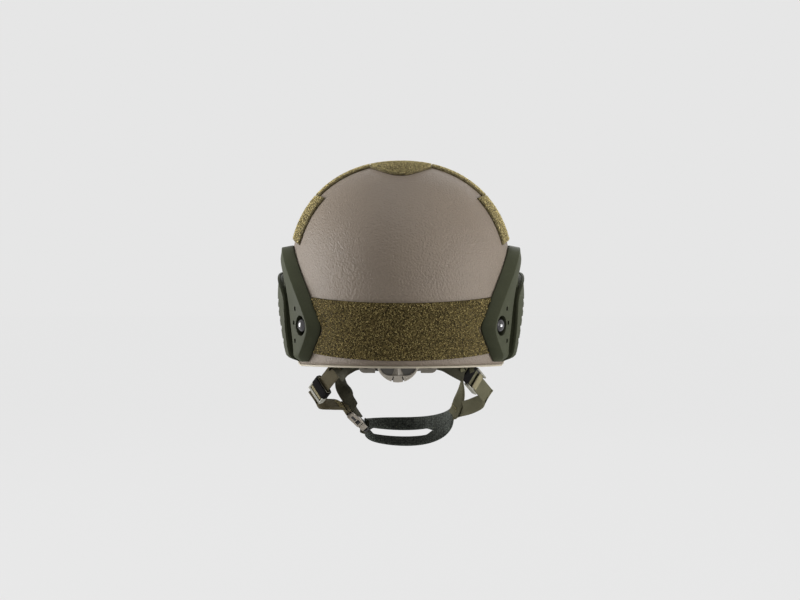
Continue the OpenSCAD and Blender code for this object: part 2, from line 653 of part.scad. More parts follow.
// Teeth of the rack over the pinion; the pinion has a gap at its top at rest
module rack_teeth() {
  count = ceil((arm_tip + wing_shoulder) / tooth_pitch);
  for (i = [-count:count]) {
    x = (i + (pinion_teeth % 4 == 0 ? 0.5 : pinion_teeth % 2 == 0 ? 0 : 0.25)) * tooth_pitch;
    if (x > -housing_w && x < arm_tip - 1)
      translate([x, 0]) polygon([[-tooth_mid * 0.22, pitch_r - tooth_up], [tooth_mid * 0.22, pitch_r - tooth_up],
        [tooth_mid / 2, pitch_r], [tooth_mid * 0.78, arm_low + 0.1], [-tooth_mid * 0.78, arm_low + 0.1],
        [-tooth_mid / 2, pitch_r]]);
  }
}
// Outline of the left wing, with its rack arm above the dial's axis
module wing_outline() {
  difference() {
    union() {
      translate([-wing_reach + 6, -wing_h]) square([wing_reach - 6 - wing_shoulder, 2 * wing_h]);
      translate([-wing_reach + 6, 0]) rounded_end(6, wing_h);
    }
    translate([-wing_reach + 5.5, -web_w / 2 - 1]) square([3.4, web_w + 2]);
  }
  translate([-wing_shoulder - 1, arm_low]) square([wing_shoulder + 1 + arm_tip, arm_h]);
  rack_teeth();
}
module rounded_end(r, h) {
  for (side = [-1, 1]) translate([0, side * (h - r)]) circle(r = r, $fn = 48);
  translate([-r, -h + r]) square([r, 2 * h - 2 * r]);
}
module left_wing() color(dial_color) slab(wing_front, wing_t) wing_outline();
module right_wing() color(dial_color) slab(wing_front, wing_t) rotate(180) wing_outline();

// Upright roller that carries the nape strap, in front of the wing's outer edge
roller_x = wing_reach - 3;
module roller() translate([0, -wing_front + roller_r + 0.1, dial_z - web_w / 2 - 2])
  cylinder(r = roller_r, h = web_w + 4, $fn = 32);
module left_wing_roller() color(black_color) translate([dial_x - roller_x, 0, 0]) roller();
module right_wing_roller() color(black_color) translate([dial_x + roller_x, 0, 0]) roller();

// Nape pad on the wearer's side of the housing
nape_pad_w = 40;
nape_pad_h = 22;
nape_pad_t = 12;
nape_pad_cells = 8;
function nape_pad_face(y, swell, draw) = [for (i = [0:nape_pad_cells]) [for (j = [0:nape_pad_cells])
  let (u = 2 * i / nape_pad_cells - 1, v = 2 * j / nape_pad_cells - 1,
    bulge = pow((1 - pow(u, 4)) * (1 - pow(v, 4)), 0.4),
    x = u * sqrt(1 - v * v / 3), z = v * sqrt(1 - u * u / 3))
  [dial_x + x * nape_pad_w * draw, -housing_front + y + swell * bulge, dial_z + z * nape_pad_h * draw]]];
module nape_pad() color(pad_color) {
  grid_solid(nape_pad_face(seat + 2 * roller_r, 0, 1),
    nape_pad_face(seat + 2 * roller_r + 5, nape_pad_t - 5, 0.94));
  translate([dial_x - housing_w + 4, -housing_front + seat, dial_z - housing_h + 6])
    cube([2 * housing_w - 8, 2 * roller_r + 1, 2 * housing_h - 12]);
}

// Webbing: a flat strap through rows of place and width direction
module strap(rows, width = web_w, thick = web_t, steps = 3) {
  count = (len(rows) - 1) * steps;
  function ring(s) = let (at = strap_at(rows, s), p = at[0], w = at[2] * width / 2, n = at[3] * thick / 2)
    [p + w + n, p - w + n, p - w - n, p + w - n];
  ring_solid([for (i = [0:count]) ring(i / steps)]);
}
// Place, way, width direction and face of a strap at one of its rows
function strap_at(rows, s) = let (
    row = curve_at(rows, s),
    ahead = curve_at(rows, min(s + 0.02, len(rows) - 1)),
    behind = curve_at(rows, max(s - 0.02, 0)),
    way = unit([ahead[0] - behind[0], ahead[1] - behind[1], ahead[2] - behind[2]]),
    w = square_to([row[3], row[4], row[5]], way))
  [[row[0], row[1], row[2]], way, w, cross(way, w)];
function square_to(v, way) = unit(v - way * (v * way));
function row_of(p, w) = concat(p, w);
function along_line(a, b, w, shares) = [for (t = shares) row_of(mix(a, b, t), w)];

// Routes of the harness
left_rim_pass = [-63.5, -82, -91];
left_fold = [-88, -45, -124];
left_junction = [-63.5, -6, -135.5];
right_rim_pass = [63, -84, -91];
right_fold = [88, -40, -123];
right_junction = [60, 5, -139];
left_buckle = [-57, 5, -141];
buckle_end = [-42.5, 28, -158.5];
cup_left = [-37.5, 36, -162.5];
cup_right = [49, 14, -150];

function sideways(side, spot) = let (n = surface_normal(shell_point(side * spot[0], spot[1])))
  unit(cross([0, 0, 1], n));

slider_w_left = [0.556, -0.378, -0.741];
slider_w_right = [-0.556, -0.378, -0.741];
straight_shares = [0, 0.06, 0.3, 0.6, 0.94, 1];

buckle_axis = unit(buckle_end - left_buckle);
buckle_normal = square_to([-0.78, 0, -0.63], buckle_axis);
buckle_across = cross(buckle_normal, buckle_axis);

function left_rear_rows() = concat(
  [row_of(anchor_end(-1, rear_bolt, -tail_overlap), sideways(-1, rear_bolt)),
    row_of(anchor_end(-1, rear_bolt, 2), sideways(-1, rear_bolt))],
  along_line(left_rim_pass, left_fold, slider_w_left, straight_shares),
  [row_of(left_fold + [4, 13, -5], [0.35, -0.2, -0.9]),
    row_of(mix(left_fold, left_junction, 0.6) + [0, 0, -2], mix([0.15, 0, -1], buckle_across, 0.9)),
    row_of(left_junction, buckle_across),
    row_of(left_buckle - buckle_axis * 2.6, buckle_across)]);
function right_rear_rows() = concat(
  [row_of(anchor_end(1, rear_bolt, -tail_overlap), -sideways(1, rear_bolt)),
    row_of(anchor_end(1, rear_bolt, 2), -sideways(1, rear_bolt))],
  along_line(right_rim_pass, right_fold, slider_w_right, straight_shares),
  [row_of(right_fold + [-3, 13, -5], [-0.35, -0.2, -0.9]),
    row_of(mix(right_fold, right_junction, 0.6) + [0, 0, -2], [-0.15, 0, -1]),
    row_of(right_junction, [-0.1, -0.2, -0.95]),
    row_of(cup_right + [4.5, 0, 0.5], [0, -0.1, -1])]);
// Row at which a front strap is sewn across the rear strap
junction_row = 10;
module left_rear_strap() color(web_color) {
  anchor_loop(-1, rear_bolt);
  at_buckle() translate([socket_bar_w / 2, 0, 0]) rotate(180) web_loop(socket_bar_w, buckle_bar_t, 4);
  strap(left_rear_rows(), steps = 2);
}
module right_rear_strap() color(web_color) {
  anchor_loop(1, rear_bolt);
  strap(right_rear_rows(), steps = 2);
}
// A front strap ends across the inner face of the rear strap, where the two are sewn together
sewn_gap = 0.8;
sewn_len = 15;
module front_strap(side, rear_rows) {
  top = anchor_end(side, front_bolt, -tail_overlap);
  joint = strap_at(rear_rows, junction_row);
  inward = joint[3] * (joint[3].x * side < 0 ? 1 : -1) * (web_t + sewn_gap);
  sewn = [for (k = [-0.5, 0.5]) joint[0] + joint[2] * k * sewn_len + inward];
  anchor_loop(side, front_bolt);
  strap([row_of(top, side * sideways(side, front_bolt)),
    row_of(mix(top, sewn[0], 0.25), [side * 0.2, 1, 0]),
    row_of(mix(top, sewn[0], 0.5) + [side * 2, 0, 0], [side * 0.3, 1, 0]),
    row_of(mix(top, sewn[0], 0.8) + [side * 1.5, 0, 0], mix([side * 0.45, 1, 0], joint[1], 0.5)),
    row_of(sewn[0], joint[1]),
    row_of(sewn[1], joint[1])]);
}
module left_front_strap() color(web_color) front_strap(-1, left_rear_rows());
module right_front_strap() color(web_color) front_strap(1, right_rear_rows());

// Nape straps: from the roller of each wing to the rear strap
module nape_strap(side) {
  start = [dial_x + side * (roller_x + roller_r + web_t / 2 + 0.2), -wing_front + roller_r, dial_z - 3];
  pass = side < 0 ? left_rim_pass : right_rim_pass;
  end = [pass.x - side * 2, pass.y + 2.5, dial_z - 5];
  strap([row_of(start, [0, 0, side]), row_of(mix(start, end, 0.4) + [0, -1.2, 0], [0, 0, side]),
    row_of(end, [0, 0.1, side])], width = web_w - 1);
}
module left_nape_strap() color(web_color) nape_strap(-1);
module right_nape_strap() color(web_color) nape_strap(1);

// Sliders: ladder frames whose outer bars lie over the strap and whose middle bar lies under it
slider_bar_t = 1.5;
slider_bar_w = 3.4;
slider_half = web_w / 2 + 0.7;
module slider() {
  level = web_t / 2 + web_gap;
  high = level + slider_bar_t;
  for (side = [-1, 1]) {
    translate([-slider_len / 2, side * (slider_half + slider_rail / 2) - slider_rail / 2, -high])
      cube([slider_len, slider_rail, 2 * high]);
    translate([side * (slider_len / 2 - slider_bar_w / 2) - slider_bar_w / 2, -slider_half - 0.5, level])
      cube([slider_bar_w, 2 * slider_half + 1, slider_bar_t]);
  }
  translate([-slider_bar_w / 2, -slider_half - 0.5, -high])
    cube([slider_bar_w, 2 * slider_half + 1, slider_bar_t]);
}
module at_slider(from, to, rough, share) {
  way = unit(to - from);
  in_frame(mix(from, to, share), way, cross(way, square_to(rough, way))) children();
}
left_slider_share = 0.72;
right_slider_share = 0.42;
module left_slider() color(rail_color)
  at_slider(left_rim_pass, left_fold, slider_w_left, left_slider_share) slider();
module right_slider() color(rail_color)
  at_slider(right_rim_pass, right_fold, slider_w_right, right_slider_share) slider();

// Side-release buckle, drawn along X from the strap's bar to the socket's mouth
socket_half = web_w / 2 + 3;
mouth_half = web_w / 2 + 0.6;
mouth_t = 4.4;
mouth_depth = 17;
window_near = socket_len - 11;
window_len = 6.4;
// The straps' loops go round bars of this width and thickness
socket_bar_w = 2.4;
plug_bar_w = 2.2;
buckle_bar_t = 3;
bar_slot = 3.2;
module at_buckle() in_frame(left_buckle, buckle_axis, buckle_normal) children();
module buckle_socket() color(shell_color) at_buckle() difference() {
  translate([0, 0, -socket_t / 2]) linear_extrude(socket_t) polygon([[0, -socket_half + 1.5],
    [1.5, -socket_half], [socket_len - 2, -socket_half], [socket_len, -socket_half + 2],
    [socket_len, socket_half - 2], [socket_len - 2, socket_half], [1.5, socket_half], [0, socket_half - 1.5]]);
  translate([socket_len - mouth_depth, -mouth_half, -mouth_t / 2]) cube([mouth_depth + 1, 2 * mouth_half, mouth_t]);
  translate([window_near, -socket_half - 1, -mouth_t / 2]) cube([window_len, 2 * socket_half + 2, mouth_t]);
  translate([socket_bar_w, -web_slot_half, -socket_t]) cube([bar_slot, 2 * web_slot_half, 2 * socket_t]);
  translate([-1, 0, 0]) beside_bar(socket_bar_w + 2);
}
// Room for a loop over and under its bar
module beside_bar(length) for (side = [0, 1]) mirror([0, 0, side])
  translate([0, -web_slot_half, buckle_bar_t / 2]) cube([length, 2 * web_slot_half, socket_t]);
// Plug: tongue and foot with a strap slot, and two prongs that spring outwards
plug_gap = 0.4;
plug_t = mouth_t - 2 * plug_gap;
foot_from = socket_len + plug_gap;
foot_len = 9;
tongue_half = 1.2;
prong_y = 5.6;
prong_w = 2.2;
prong_hinge = foot_from + 0.8;
module buckle_plug() color(shell_color) at_buckle() difference() {
  union() {
    translate([socket_len - 14, -tongue_half, -plug_t / 2]) cube([15, 2 * tongue_half, plug_t]);
    translate([foot_from, -socket_half + 1, -socket_t / 2 + 0.5]) cube([foot_len, 2 * socket_half - 2, socket_t - 1]);
  }
  translate([foot_from + foot_len - plug_bar_w - bar_slot, -web_slot_half, -socket_t])
    cube([bar_slot, 2 * web_slot_half, 2 * socket_t]);
  translate([foot_from + foot_len - plug_bar_w - 1, 0, 0]) beside_bar(plug_bar_w + 2);
  translate([foot_from - 1, -web_w / 2 - 0.6, -plug_t / 2 - 0.3]) cube([3, 6.2, plug_t + 0.6]);
  translate([foot_from - 1, web_w / 2 + 0.6 - 6.2, -plug_t / 2 - 0.3]) cube([3, 6.2, plug_t + 0.6]);
}
module prong() {
  reach = prong_hinge - window_near - 0.6;
  catch = prong_hinge - window_near - window_len + 0.6;
  translate([prong_hinge, prong_y, -plug_t / 2]) linear_extrude(plug_t) polygon([
    [0.8, -prong_w / 2], [0.8, prong_w / 2], [-catch, prong_w / 2], [-catch, socket_half - prong_y - 0.8],
    [-catch - 2.2, socket_half - prong_y - 0.2], [1.5 - reach, 1.4], [-reach, 0.6], [-reach, -prong_w / 2]]);
}
module rear_prong() color(shell_color) at_buckle() prong();
module front_prong() color(shell_color) at_buckle() mirror([0, 1, 0]) prong();

// Chin cup: two bands that part over the chin and meet at their ends
cup_columns = 24;
cup_joined = 3;
function cup_line(u, rise, forward, drop, lean) = let (
    a = 180 * u,
    s = pow(sin(a), 0.8),
    side = (1 - cos(a)) / 2,
    base = mix(cup_left, cup_right, side))
  base + [0, forward * s, -drop * s] + mix([0, -0.1, 1] * rise, lean, s);
// Four edge lines, from the upper band's top edge to the lower band's rear edge
cup_half = cup_band_w / 2;
function cup_edges(u) = [
  cup_line(u, 8, 52, 10, [0, 0.57, 0.82] * cup_half),
  cup_line(u, 2.7, 52, 10, [0, -0.57, -0.82] * cup_half),
  cup_line(u, -2.7, 27, 25, [0, 0.85, 0.5] * cup_half),
  cup_line(u, -8, 27, 25, [0, -0.85, -0.5] * cup_half)];
// The cup's left end runs flat through the keeper to the loop round the plug's bar
cup_tail_from = foot_from + foot_len + loop_gap + web_t + 1.4;
cup_tail = [for (x = [cup_tail_from, cup_tail_from + 4.5])
  [for (k = [1, 0.34, -0.34, -1]) left_buckle + buckle_axis * x - buckle_across * k * web_w / 2]];
cup_rows = concat(cup_tail, [for (i = [1:cup_columns]) cup_edges(i / cup_columns)]);
cup_last = len(cup_rows) - 1;
function cup_normal(i, j) = let (
    i0 = max(0, i - 1), i1 = min(cup_last, i + 1),
    j0 = j == 0 ? 0 : j == 3 ? 2 : j - (j == 2 ? 0 : 1))
  unit(cross(cup_rows[i1][j] - cup_rows[i0][j], cup_rows[i][j0 + 1] - cup_rows[i][j0]));
function cup_face(h) = [for (i = [0:cup_last]) [for (j = [0:3]) cup_rows[i][j] + cup_normal(i, j) * h]];
module chin_cup() color(cup_color) {
  grid_solid(cup_face(cup_t / 2), cup_face(-cup_t / 2),
    function (i, j) j != 1 || i < cup_joined || i >= cup_last - cup_joined);
  at_buckle() translate([foot_from + foot_len - plug_bar_w / 2, 0, 0]) web_loop(plug_bar_w, buckle_bar_t, 3.4);
}

// Elastic keeper round the strap, just behind the plug
keeper_from = foot_from + foot_len + 2.6;
module strap_keeper() color(black_color) at_buckle() translate([keeper_from, 0, 0])
  difference() {
    translate([0, -web_w / 2 - 2, -3.2]) cube([3.2, web_w + 4, 6.4]);
    translate([-1, -web_w / 2 - 0.5, -1.9]) cube([6, web_w + 1, 3.8]);
  }

shell();
edge_trim();
rear_loop_panel();
crown_loop_patch();
front_loop_panel();
left_upper_loop();
right_upper_loop();
left_side_loop();
right_side_loop();
left_rail();
right_rail();
rail_bolts();
rail_nuts();
strap_anchors();
shroud();
shroud_screw();
shroud_nut();
hook_discs();
crown_pad();
front_pad();
rear_pad();
left_front_pad();
left_rear_pad();
right_front_pad();
right_rear_pad();
nape_pad();
nape_housing();
dial_knob();
dial_shaft();
left_wing();
right_wing();
left_wing_roller();
right_wing_roller();
left_nape_strap();
right_nape_strap();
left_rear_strap();
right_rear_strap();
left_front_strap();
right_front_strap();
left_slider();
right_slider();
buckle_socket();
buckle_plug();
rear_prong();
front_prong();
strap_keeper();
chin_cup();
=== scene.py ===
# Combat helmet: high-cut shell, side rails, loop panels, pads, nape dial and chin harness.
# Lengths are in millimetres up to the call that makes a mesh, which turns them into metres.
# +Z is up, +Y the way the wearer faces, +X the wearer's right; the dome's centre is the origin.
import math

import bmesh
import bpy
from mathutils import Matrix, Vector
from mathutils.bvhtree import BVHTree


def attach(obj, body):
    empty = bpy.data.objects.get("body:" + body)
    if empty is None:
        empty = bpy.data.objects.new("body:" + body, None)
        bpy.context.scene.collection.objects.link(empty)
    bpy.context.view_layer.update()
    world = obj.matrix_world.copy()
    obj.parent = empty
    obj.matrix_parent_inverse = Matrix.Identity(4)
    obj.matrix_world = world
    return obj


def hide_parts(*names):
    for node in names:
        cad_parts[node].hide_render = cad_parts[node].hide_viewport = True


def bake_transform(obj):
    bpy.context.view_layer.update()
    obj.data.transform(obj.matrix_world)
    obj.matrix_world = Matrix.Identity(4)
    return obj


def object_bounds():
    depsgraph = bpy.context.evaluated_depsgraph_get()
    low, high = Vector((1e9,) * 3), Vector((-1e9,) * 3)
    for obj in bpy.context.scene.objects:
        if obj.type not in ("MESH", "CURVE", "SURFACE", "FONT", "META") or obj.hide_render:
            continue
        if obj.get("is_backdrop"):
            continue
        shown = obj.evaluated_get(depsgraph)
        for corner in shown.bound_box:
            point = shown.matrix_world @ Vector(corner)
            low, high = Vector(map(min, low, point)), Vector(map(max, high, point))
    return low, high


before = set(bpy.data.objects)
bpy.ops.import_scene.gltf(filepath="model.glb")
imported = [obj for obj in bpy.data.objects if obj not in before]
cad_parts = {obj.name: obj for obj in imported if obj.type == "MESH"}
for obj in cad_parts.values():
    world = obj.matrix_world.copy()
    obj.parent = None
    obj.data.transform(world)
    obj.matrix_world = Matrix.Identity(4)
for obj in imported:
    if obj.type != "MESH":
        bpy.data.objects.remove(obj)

cad_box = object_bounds()
scene = bpy.context.scene

# Studio
# A camera 1.6 m behind the helmet and three degrees up, five soft lamps round it, strongest at
# the left, and a plain pale room.
VIEW_TARGET = Vector((-1.0, 0.0, -27.8))
VIEW_DISTANCE = 1600.0
VIEW_ELEVATION = math.radians(3.0)
VIEW_WIDTH = 824.0
SENSOR = 36.0
ROOM = 0.791
FILL_LIGHT = 0.2
FLOOR_Z = -420.0
FLOOR_HALF = 6000.0
FLOOR_TONE = 0.75
FLOOR_GLOW = 0.805
FLOOR_GLOW_SHARE = 0.97


def placed(name, data):
    """A new object that shows some data."""
    thing = bpy.data.objects.new(name, data)
    scene.collection.objects.link(thing)
    return thing


camera_data = bpy.data.cameras.new("camera")
camera_data.sensor_width = SENSOR
camera_data.lens = SENSOR * VIEW_DISTANCE / VIEW_WIDTH
camera_data.clip_end = 50
camera = placed("camera", camera_data)
toward = Vector((0, -math.cos(VIEW_ELEVATION), math.sin(VIEW_ELEVATION)))
camera.location = (VIEW_TARGET + toward * VIEW_DISTANCE) / 1000
camera.rotation_euler = (-toward).to_track_quat("-Z", "Y").to_euler()
scene.camera = camera


def soft_lamp(name, place, aim, width, height, power):
    """A rectangular lamp: places and sizes in metres, power in watts."""
    lamp = bpy.data.lights.new(name, "AREA")
    lamp.shape = "RECTANGLE"
    lamp.size, lamp.size_y, lamp.energy = width, height, power
    holder = placed(name, lamp)
    holder.location = place
    holder.rotation_euler = (Vector(aim) - Vector(place)).to_track_quat("-Z", "Y").to_euler()


soft_lamp("left_lamp", (-1.62, 0.30, 0.0), (0, 0, -0.02), 0.7, 0.8, 31)
soft_lamp("right_lamp", (1.4, -0.22, -0.15), (0, 0, -0.02), 0.7, 0.5, 15.5)
soft_lamp("top_lamp", (0, -0.45, 1.55), (0, 0, 0), 1.2, 1.0, 14)
soft_lamp("rear_lamp", (0.75, -1.4, 0.3), (0, 0, 0), 1.0, 1.0, 4)
soft_lamp("front_lamp", (0.3, 1.7, 0.7), (0, 0, 0), 1.2, 1.0, 9)


def give(tree, socket, value):
    """Sets an input to a value, or links it where the value is another node's output."""
    if isinstance(value, bpy.types.NodeSocket):
        tree.links.new(value, socket)
    else:
        socket.default_value = value


def linked(tree, kind, settings=(), **values):
    """A node with its settings, and with values or links for its inputs, by name."""
    node = tree.nodes.new(kind)
    for key, value in dict(settings).items():
        setattr(node, key, value)
    for key, value in values.items():
        give(tree, node.inputs[key.replace("_", " ")], value)
    return node


def in_order(tree, kind, *values):
    """A node with values or links for its inputs, in their order."""
    node = tree.nodes.new(kind)
    for socket, value in zip(node.inputs, values):
        give(tree, socket, value)
    return node


def sum_of(tree, operation, a, b):
    """Output of a sum, or of another operation, on two values or outputs."""
    node = in_order(tree, "ShaderNodeMath", a, b)
    node.operation = operation
    return node.outputs[0]


def pale_to_camera(tree, shader, colour):
    """Mixes a shader with a plain colour that only the camera and mirror-like rays see."""
    rays = tree.nodes.new("ShaderNodeLightPath").outputs
    seen = sum_of(tree, "MAXIMUM", rays["Is Camera Ray"], rays["Is Glossy Ray"])
    seen = sum_of(tree, "MAXIMUM", seen, rays["Is Transmission Ray"])
    return in_order(tree, "ShaderNodeMixShader", seen, shader, colour).outputs[0]


def blank_finish(name):
    """A new material, with its tree and its surface shader."""
    finish = bpy.data.materials.new(name)
    finish.use_nodes = True
    return finish, finish.node_tree, finish.node_tree.nodes["Principled BSDF"]


scene.view_settings.view_transform = "Standard"
world = bpy.data.worlds.new("room")
world.use_nodes = True
scene.world = world
room_tree = world.node_tree
fill_light = room_tree.nodes["Background"]
fill_light.inputs["Color"].default_value = (1, 1, 1, 1)
fill_light.inputs["Strength"].default_value = FILL_LIGHT
seen_room = linked(room_tree, "ShaderNodeBackground", Color=(ROOM, ROOM, ROOM, 1))
room_tree.links.new(pale_to_camera(room_tree, fill_light.outputs[0], seen_room.outputs[0]),
                    room_tree.nodes["World Output"].inputs["Surface"])

floor_mesh = bpy.data.meshes.new("floor")
floor_corners = [Vector((x * FLOOR_HALF, y * FLOOR_HALF, FLOOR_Z)) / 1000
                 for x, y in ((-1, -1), (1, -1), (1, 1), (-1, 1))]
floor_mesh.from_pydata([tuple(corner) for corner in floor_corners], [], [(0, 1, 2, 3)])
floor = placed("floor", floor_mesh)
floor_paint, floor_tree, floor_surface = blank_finish("floor_paint")
floor_surface.inputs["Base Color"].default_value = (FLOOR_TONE, FLOOR_TONE, FLOOR_TONE, 1)
floor_surface.inputs["Roughness"].default_value = 0.9
floor_glow = linked(floor_tree, "ShaderNodeEmission", Color=(FLOOR_GLOW, FLOOR_GLOW, FLOOR_GLOW, 1))
floor_seen = in_order(floor_tree, "ShaderNodeMixShader", FLOOR_GLOW_SHARE, floor_surface.outputs[0],
                      floor_glow.outputs[0])
floor_tree.links.new(pale_to_camera(floor_tree, floor_surface.outputs[0], floor_seen.outputs[0]),
                     floor_tree.nodes["Material Output"].inputs["Surface"])
floor.data.materials.append(floor_paint)
floor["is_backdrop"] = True

# Shell
# A pressed fibre dome 8 mm thick, squarer than an ellipse, cut high over the ears and low at
# the nape. It is sprayed with a matt coat that dries to a fine pebbled skin.
SHELL_HALF_W = 112.0
SHELL_REAR = 134.0
SHELL_FRONT = 138.0
SHELL_TOP = 112.0
WALL = 8.0
DOME_POWER = 2.2
SKIRT_TAPER = 0.02
REAR_DEPTH = 85.0
CORNER_DROP = 5.0
EAR_DEPTH = 15.0
BROW_DEPTH = 38.0
RAMP_AZ = (65.0, 96.0)
BROW_AZ = (120.0, 158.0)
SHELL_COLUMNS = 160
SHELL_ROWS = 44


def blend_between(a, b, t):
    """The number at a share t of the way from a to b."""
    return a + (b - a) * t


def ease(t):
    """A share from 0 to 1 that starts and ends gently."""
    t = min(1.0, max(0.0, t))
    return t * t * (3 - 2 * t)


def level_scale(z):
    """Size of the dome's outline at a height, as a share of its widest level."""
    if z >= 0:
        return max(0.0, 1 - min(1.0, z / SHELL_TOP) ** DOME_POWER) ** (1 / DOME_POWER)
    return 1 - SKIRT_TAPER * (z / REAR_DEPTH) ** 2


def depth_at(y):
    """The dome's half length on a place's side, which is longer at the front."""
    return SHELL_REAR if y < 0 else SHELL_FRONT


def outline_point(az, share, z):
    """Point at an azimuth and a height, on an outline that is a share of the widest one."""
    y, x = -math.cos(math.radians(az)), math.sin(math.radians(az))
    return Vector((SHELL_HALF_W * share * x, depth_at(y) * share * y, z))


def shell_point(az, z):
    """Point on the shell's outer face at an azimuth and a height."""
    return outline_point(az, level_scale(z), z)


def meridian_point(az, angle):
    """Point of the dome at an angle down from the crown, along the meridian of an azimuth."""
    if angle >= 90:
        return shell_point(az, -math.radians(angle - 90) * SHELL_TOP)
    down = math.radians(angle)
    return outline_point(az, math.sin(down) ** (2 / DOME_POWER),
                         SHELL_TOP * math.cos(down) ** (2 / DOME_POWER))


def outline_share(p):
    """How far out a place lies, as a share of the widest outline."""
    return math.hypot(p.x / SHELL_HALF_W, p.y / depth_at(p.y))


def surface_normal(p):
    """The way straight out of the shell at one of its points."""
    if p.z >= 0:
        share = outline_share(p)
        s = 0 if share < 0.0001 else share ** (DOME_POWER - 2)
        return Vector((s * p.x / SHELL_HALF_W ** 2, s * p.y / depth_at(p.y) ** 2,
                       p.z ** (DOME_POWER - 1) / SHELL_TOP ** DOME_POWER)).normalized()
    return Vector((p.x / SHELL_HALF_W ** 2, p.y / depth_at(p.y) ** 2,
                   level_scale(p.z) * 2 * SKIRT_TAPER * p.z / REAR_DEPTH ** 2)).normalized()


def raised(p, height):
    """A point of the shell moved outwards by a height in mm."""
    return p + surface_normal(p) * height


def cast(v):
    """Where the ray from the dome's centre through v meets the shell."""
    v = Vector(v)
    if v.z >= 0:
        reach = outline_share(v) ** DOME_POWER + (v.z / SHELL_TOP) ** DOME_POWER
        return v * reach ** (-1 / DOME_POWER)
    first = 1 / outline_share(v)
    return v * (level_scale(v.z * level_scale(v.z * first) * first) * first)


def rim_depth(az):
    """How far below the dome's centre the rim lies at an azimuth."""
    p = abs(az)
    if p < RAMP_AZ[0]:
        return REAR_DEPTH + CORNER_DROP * (p / RAMP_AZ[0]) ** 2
    if p < BROW_AZ[0]:
        return blend_between(REAR_DEPTH + CORNER_DROP, EAR_DEPTH,
                             ease((p - RAMP_AZ[0]) / (RAMP_AZ[1] - RAMP_AZ[0])))
    return blend_between(EAR_DEPTH, BROW_DEPTH, ease((p - BROW_AZ[0]) / (BROW_AZ[1] - BROW_AZ[0])))


def rim_angle(az):
    """The rim's angle down from the crown, along a meridian."""
    return 90 + math.degrees(rim_depth(az) / SHELL_TOP)


def new_piece(name, points, faces, finish, body="helmet", replaces=(), smooth=True):
    """A mesh in metres from points in millimetres, riding on a body, or on none."""
    mesh = bpy.data.meshes.new(name)
    mesh.from_pydata([tuple(c / 1000 for c in p) for p in points], [], faces)
    mesh.validate()
    piece = placed(name, mesh)
    shape = bmesh.new()
    shape.from_mesh(mesh)
    bmesh.ops.recalc_face_normals(shape, faces=shape.faces)
    shape.to_mesh(mesh)
    shape.free()
    if smooth:
        mesh.shade_smooth()
    mesh.materials.append(finish)
    if body:
        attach(piece, body)
    if replaces:
        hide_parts(*replaces)
    return piece


def ring_faces(rings, points, closed):
    """Quads between rings of points, with flat ends unless the rings close on themselves."""
    faces = []
    for i in range(rings if closed else rings - 1):
        n = (i + 1) % rings
        for j in range(points):
            k = (j + 1) % points
            faces.append((i * points + j, n * points + j, n * points + k, i * points + k))
    if not closed:
        faces.append(tuple(range(points)))
        faces.append(tuple(range((rings - 1) * points, rings * points))[::-1])
    return faces


def on_piece(tree):
    """The place on the piece, which a pattern follows."""
    return tree.nodes.new("ShaderNodeTexCoord").outputs["Object"]


def mottle(tree, place, size, detail, rough=0.5):
    """Noise whose spots have a size in mm."""
    noise = linked(tree, "ShaderNodeTexNoise", Vector=place, Scale=1000 / size, Detail=detail,
                   Roughness=rough)
    return noise.outputs["Fac"]


def weighed(tree, first, *others):
    """The sum of several outputs, each given with its weight."""
    total = sum_of(tree, "MULTIPLY", *first)
    for part in others:
        total = sum_of(tree, "ADD", total, sum_of(tree, "MULTIPLY", *part))
    return total


def dented(tree, surface, height, depth, strength=1.0):
    """Relief on a surface, as deep as a depth in mm."""
    bump = linked(tree, "ShaderNodeBump", Height=height, Strength=strength, Distance=depth / 1000)
    tree.links.new(bump.outputs["Normal"], surface.inputs["Normal"])


def tinted(tree, dark, light, share):
    """Colour between two tones, by a share from 0 to 1."""
    ramp = tree.nodes.new("ShaderNodeMix")
    ramp.data_type = "RGBA"
    ramp.inputs["A"].default_value = (*dark, 1)
    ramp.inputs["B"].default_value = (*light, 1)
    tree.links.new(share, ramp.inputs["Factor"])
    return ramp.outputs["Result"]


def painted_crevice_shade(tree, colour, reach, least):
    """Painted shade: darkens a colour in crevices narrower than a reach in mm, down to the least share."""
    open_air = linked(tree, "ShaderNodeAmbientOcclusion", {"samples": 8}, Distance=reach / 1000)
    share = linked(tree, "ShaderNodeMapRange", Value=open_air.outputs["AO"], From_Min=0.15, From_Max=0.75,
                   To_Min=least, To_Max=1.0)
    dim = tree.nodes.new("ShaderNodeMix")
    dim.data_type = "RGBA"
    dim.blend_type = "MULTIPLY"
    dim.inputs["Factor"].default_value = 1.0
    tree.links.new(colour, dim.inputs["A"])
    tree.links.new(share.outputs["Result"], dim.inputs["B"])
    return dim.outputs["Result"]


def moulded(name, dark, light, rough, grain, depth, patch=35.0, uneven=0.08, gloss=0.5, shade_reach=0.0,
            least=0.1):
    """A moulded, painted or plated finish: broad patches of tone, and grain with a depth, in mm; with a
    shade reach, painted shade darkens its crevices.
    """
    finish, tree, surface = blank_finish(name)
    place = on_piece(tree)
    broad, fine = mottle(tree, place, patch, 3.0, 0.6), mottle(tree, place, grain, 2.0)
    colour = tinted(tree, dark, light, weighed(tree, (broad, 0.6), (fine, 0.4)))
    # Painted shade: the colour darkens in crevices narrower than the shade reach.
    if shade_reach:
        colour = painted_crevice_shade(tree, colour, shade_reach, least)
    tree.links.new(colour, surface.inputs["Base Color"])
    surface.inputs["Specular IOR Level"].default_value = gloss
    roughness = sum_of(tree, "ADD", weighed(tree, (broad, uneven * 2)), rough - uneven)
    tree.links.new(roughness, surface.inputs["Roughness"])
    dented(tree, surface, fine, depth)
    return finish


shell_coat = moulded("shell_coat", (0.142, 0.110, 0.082), (0.206, 0.164, 0.122), 0.62, 1.9, 1.1, patch=40)

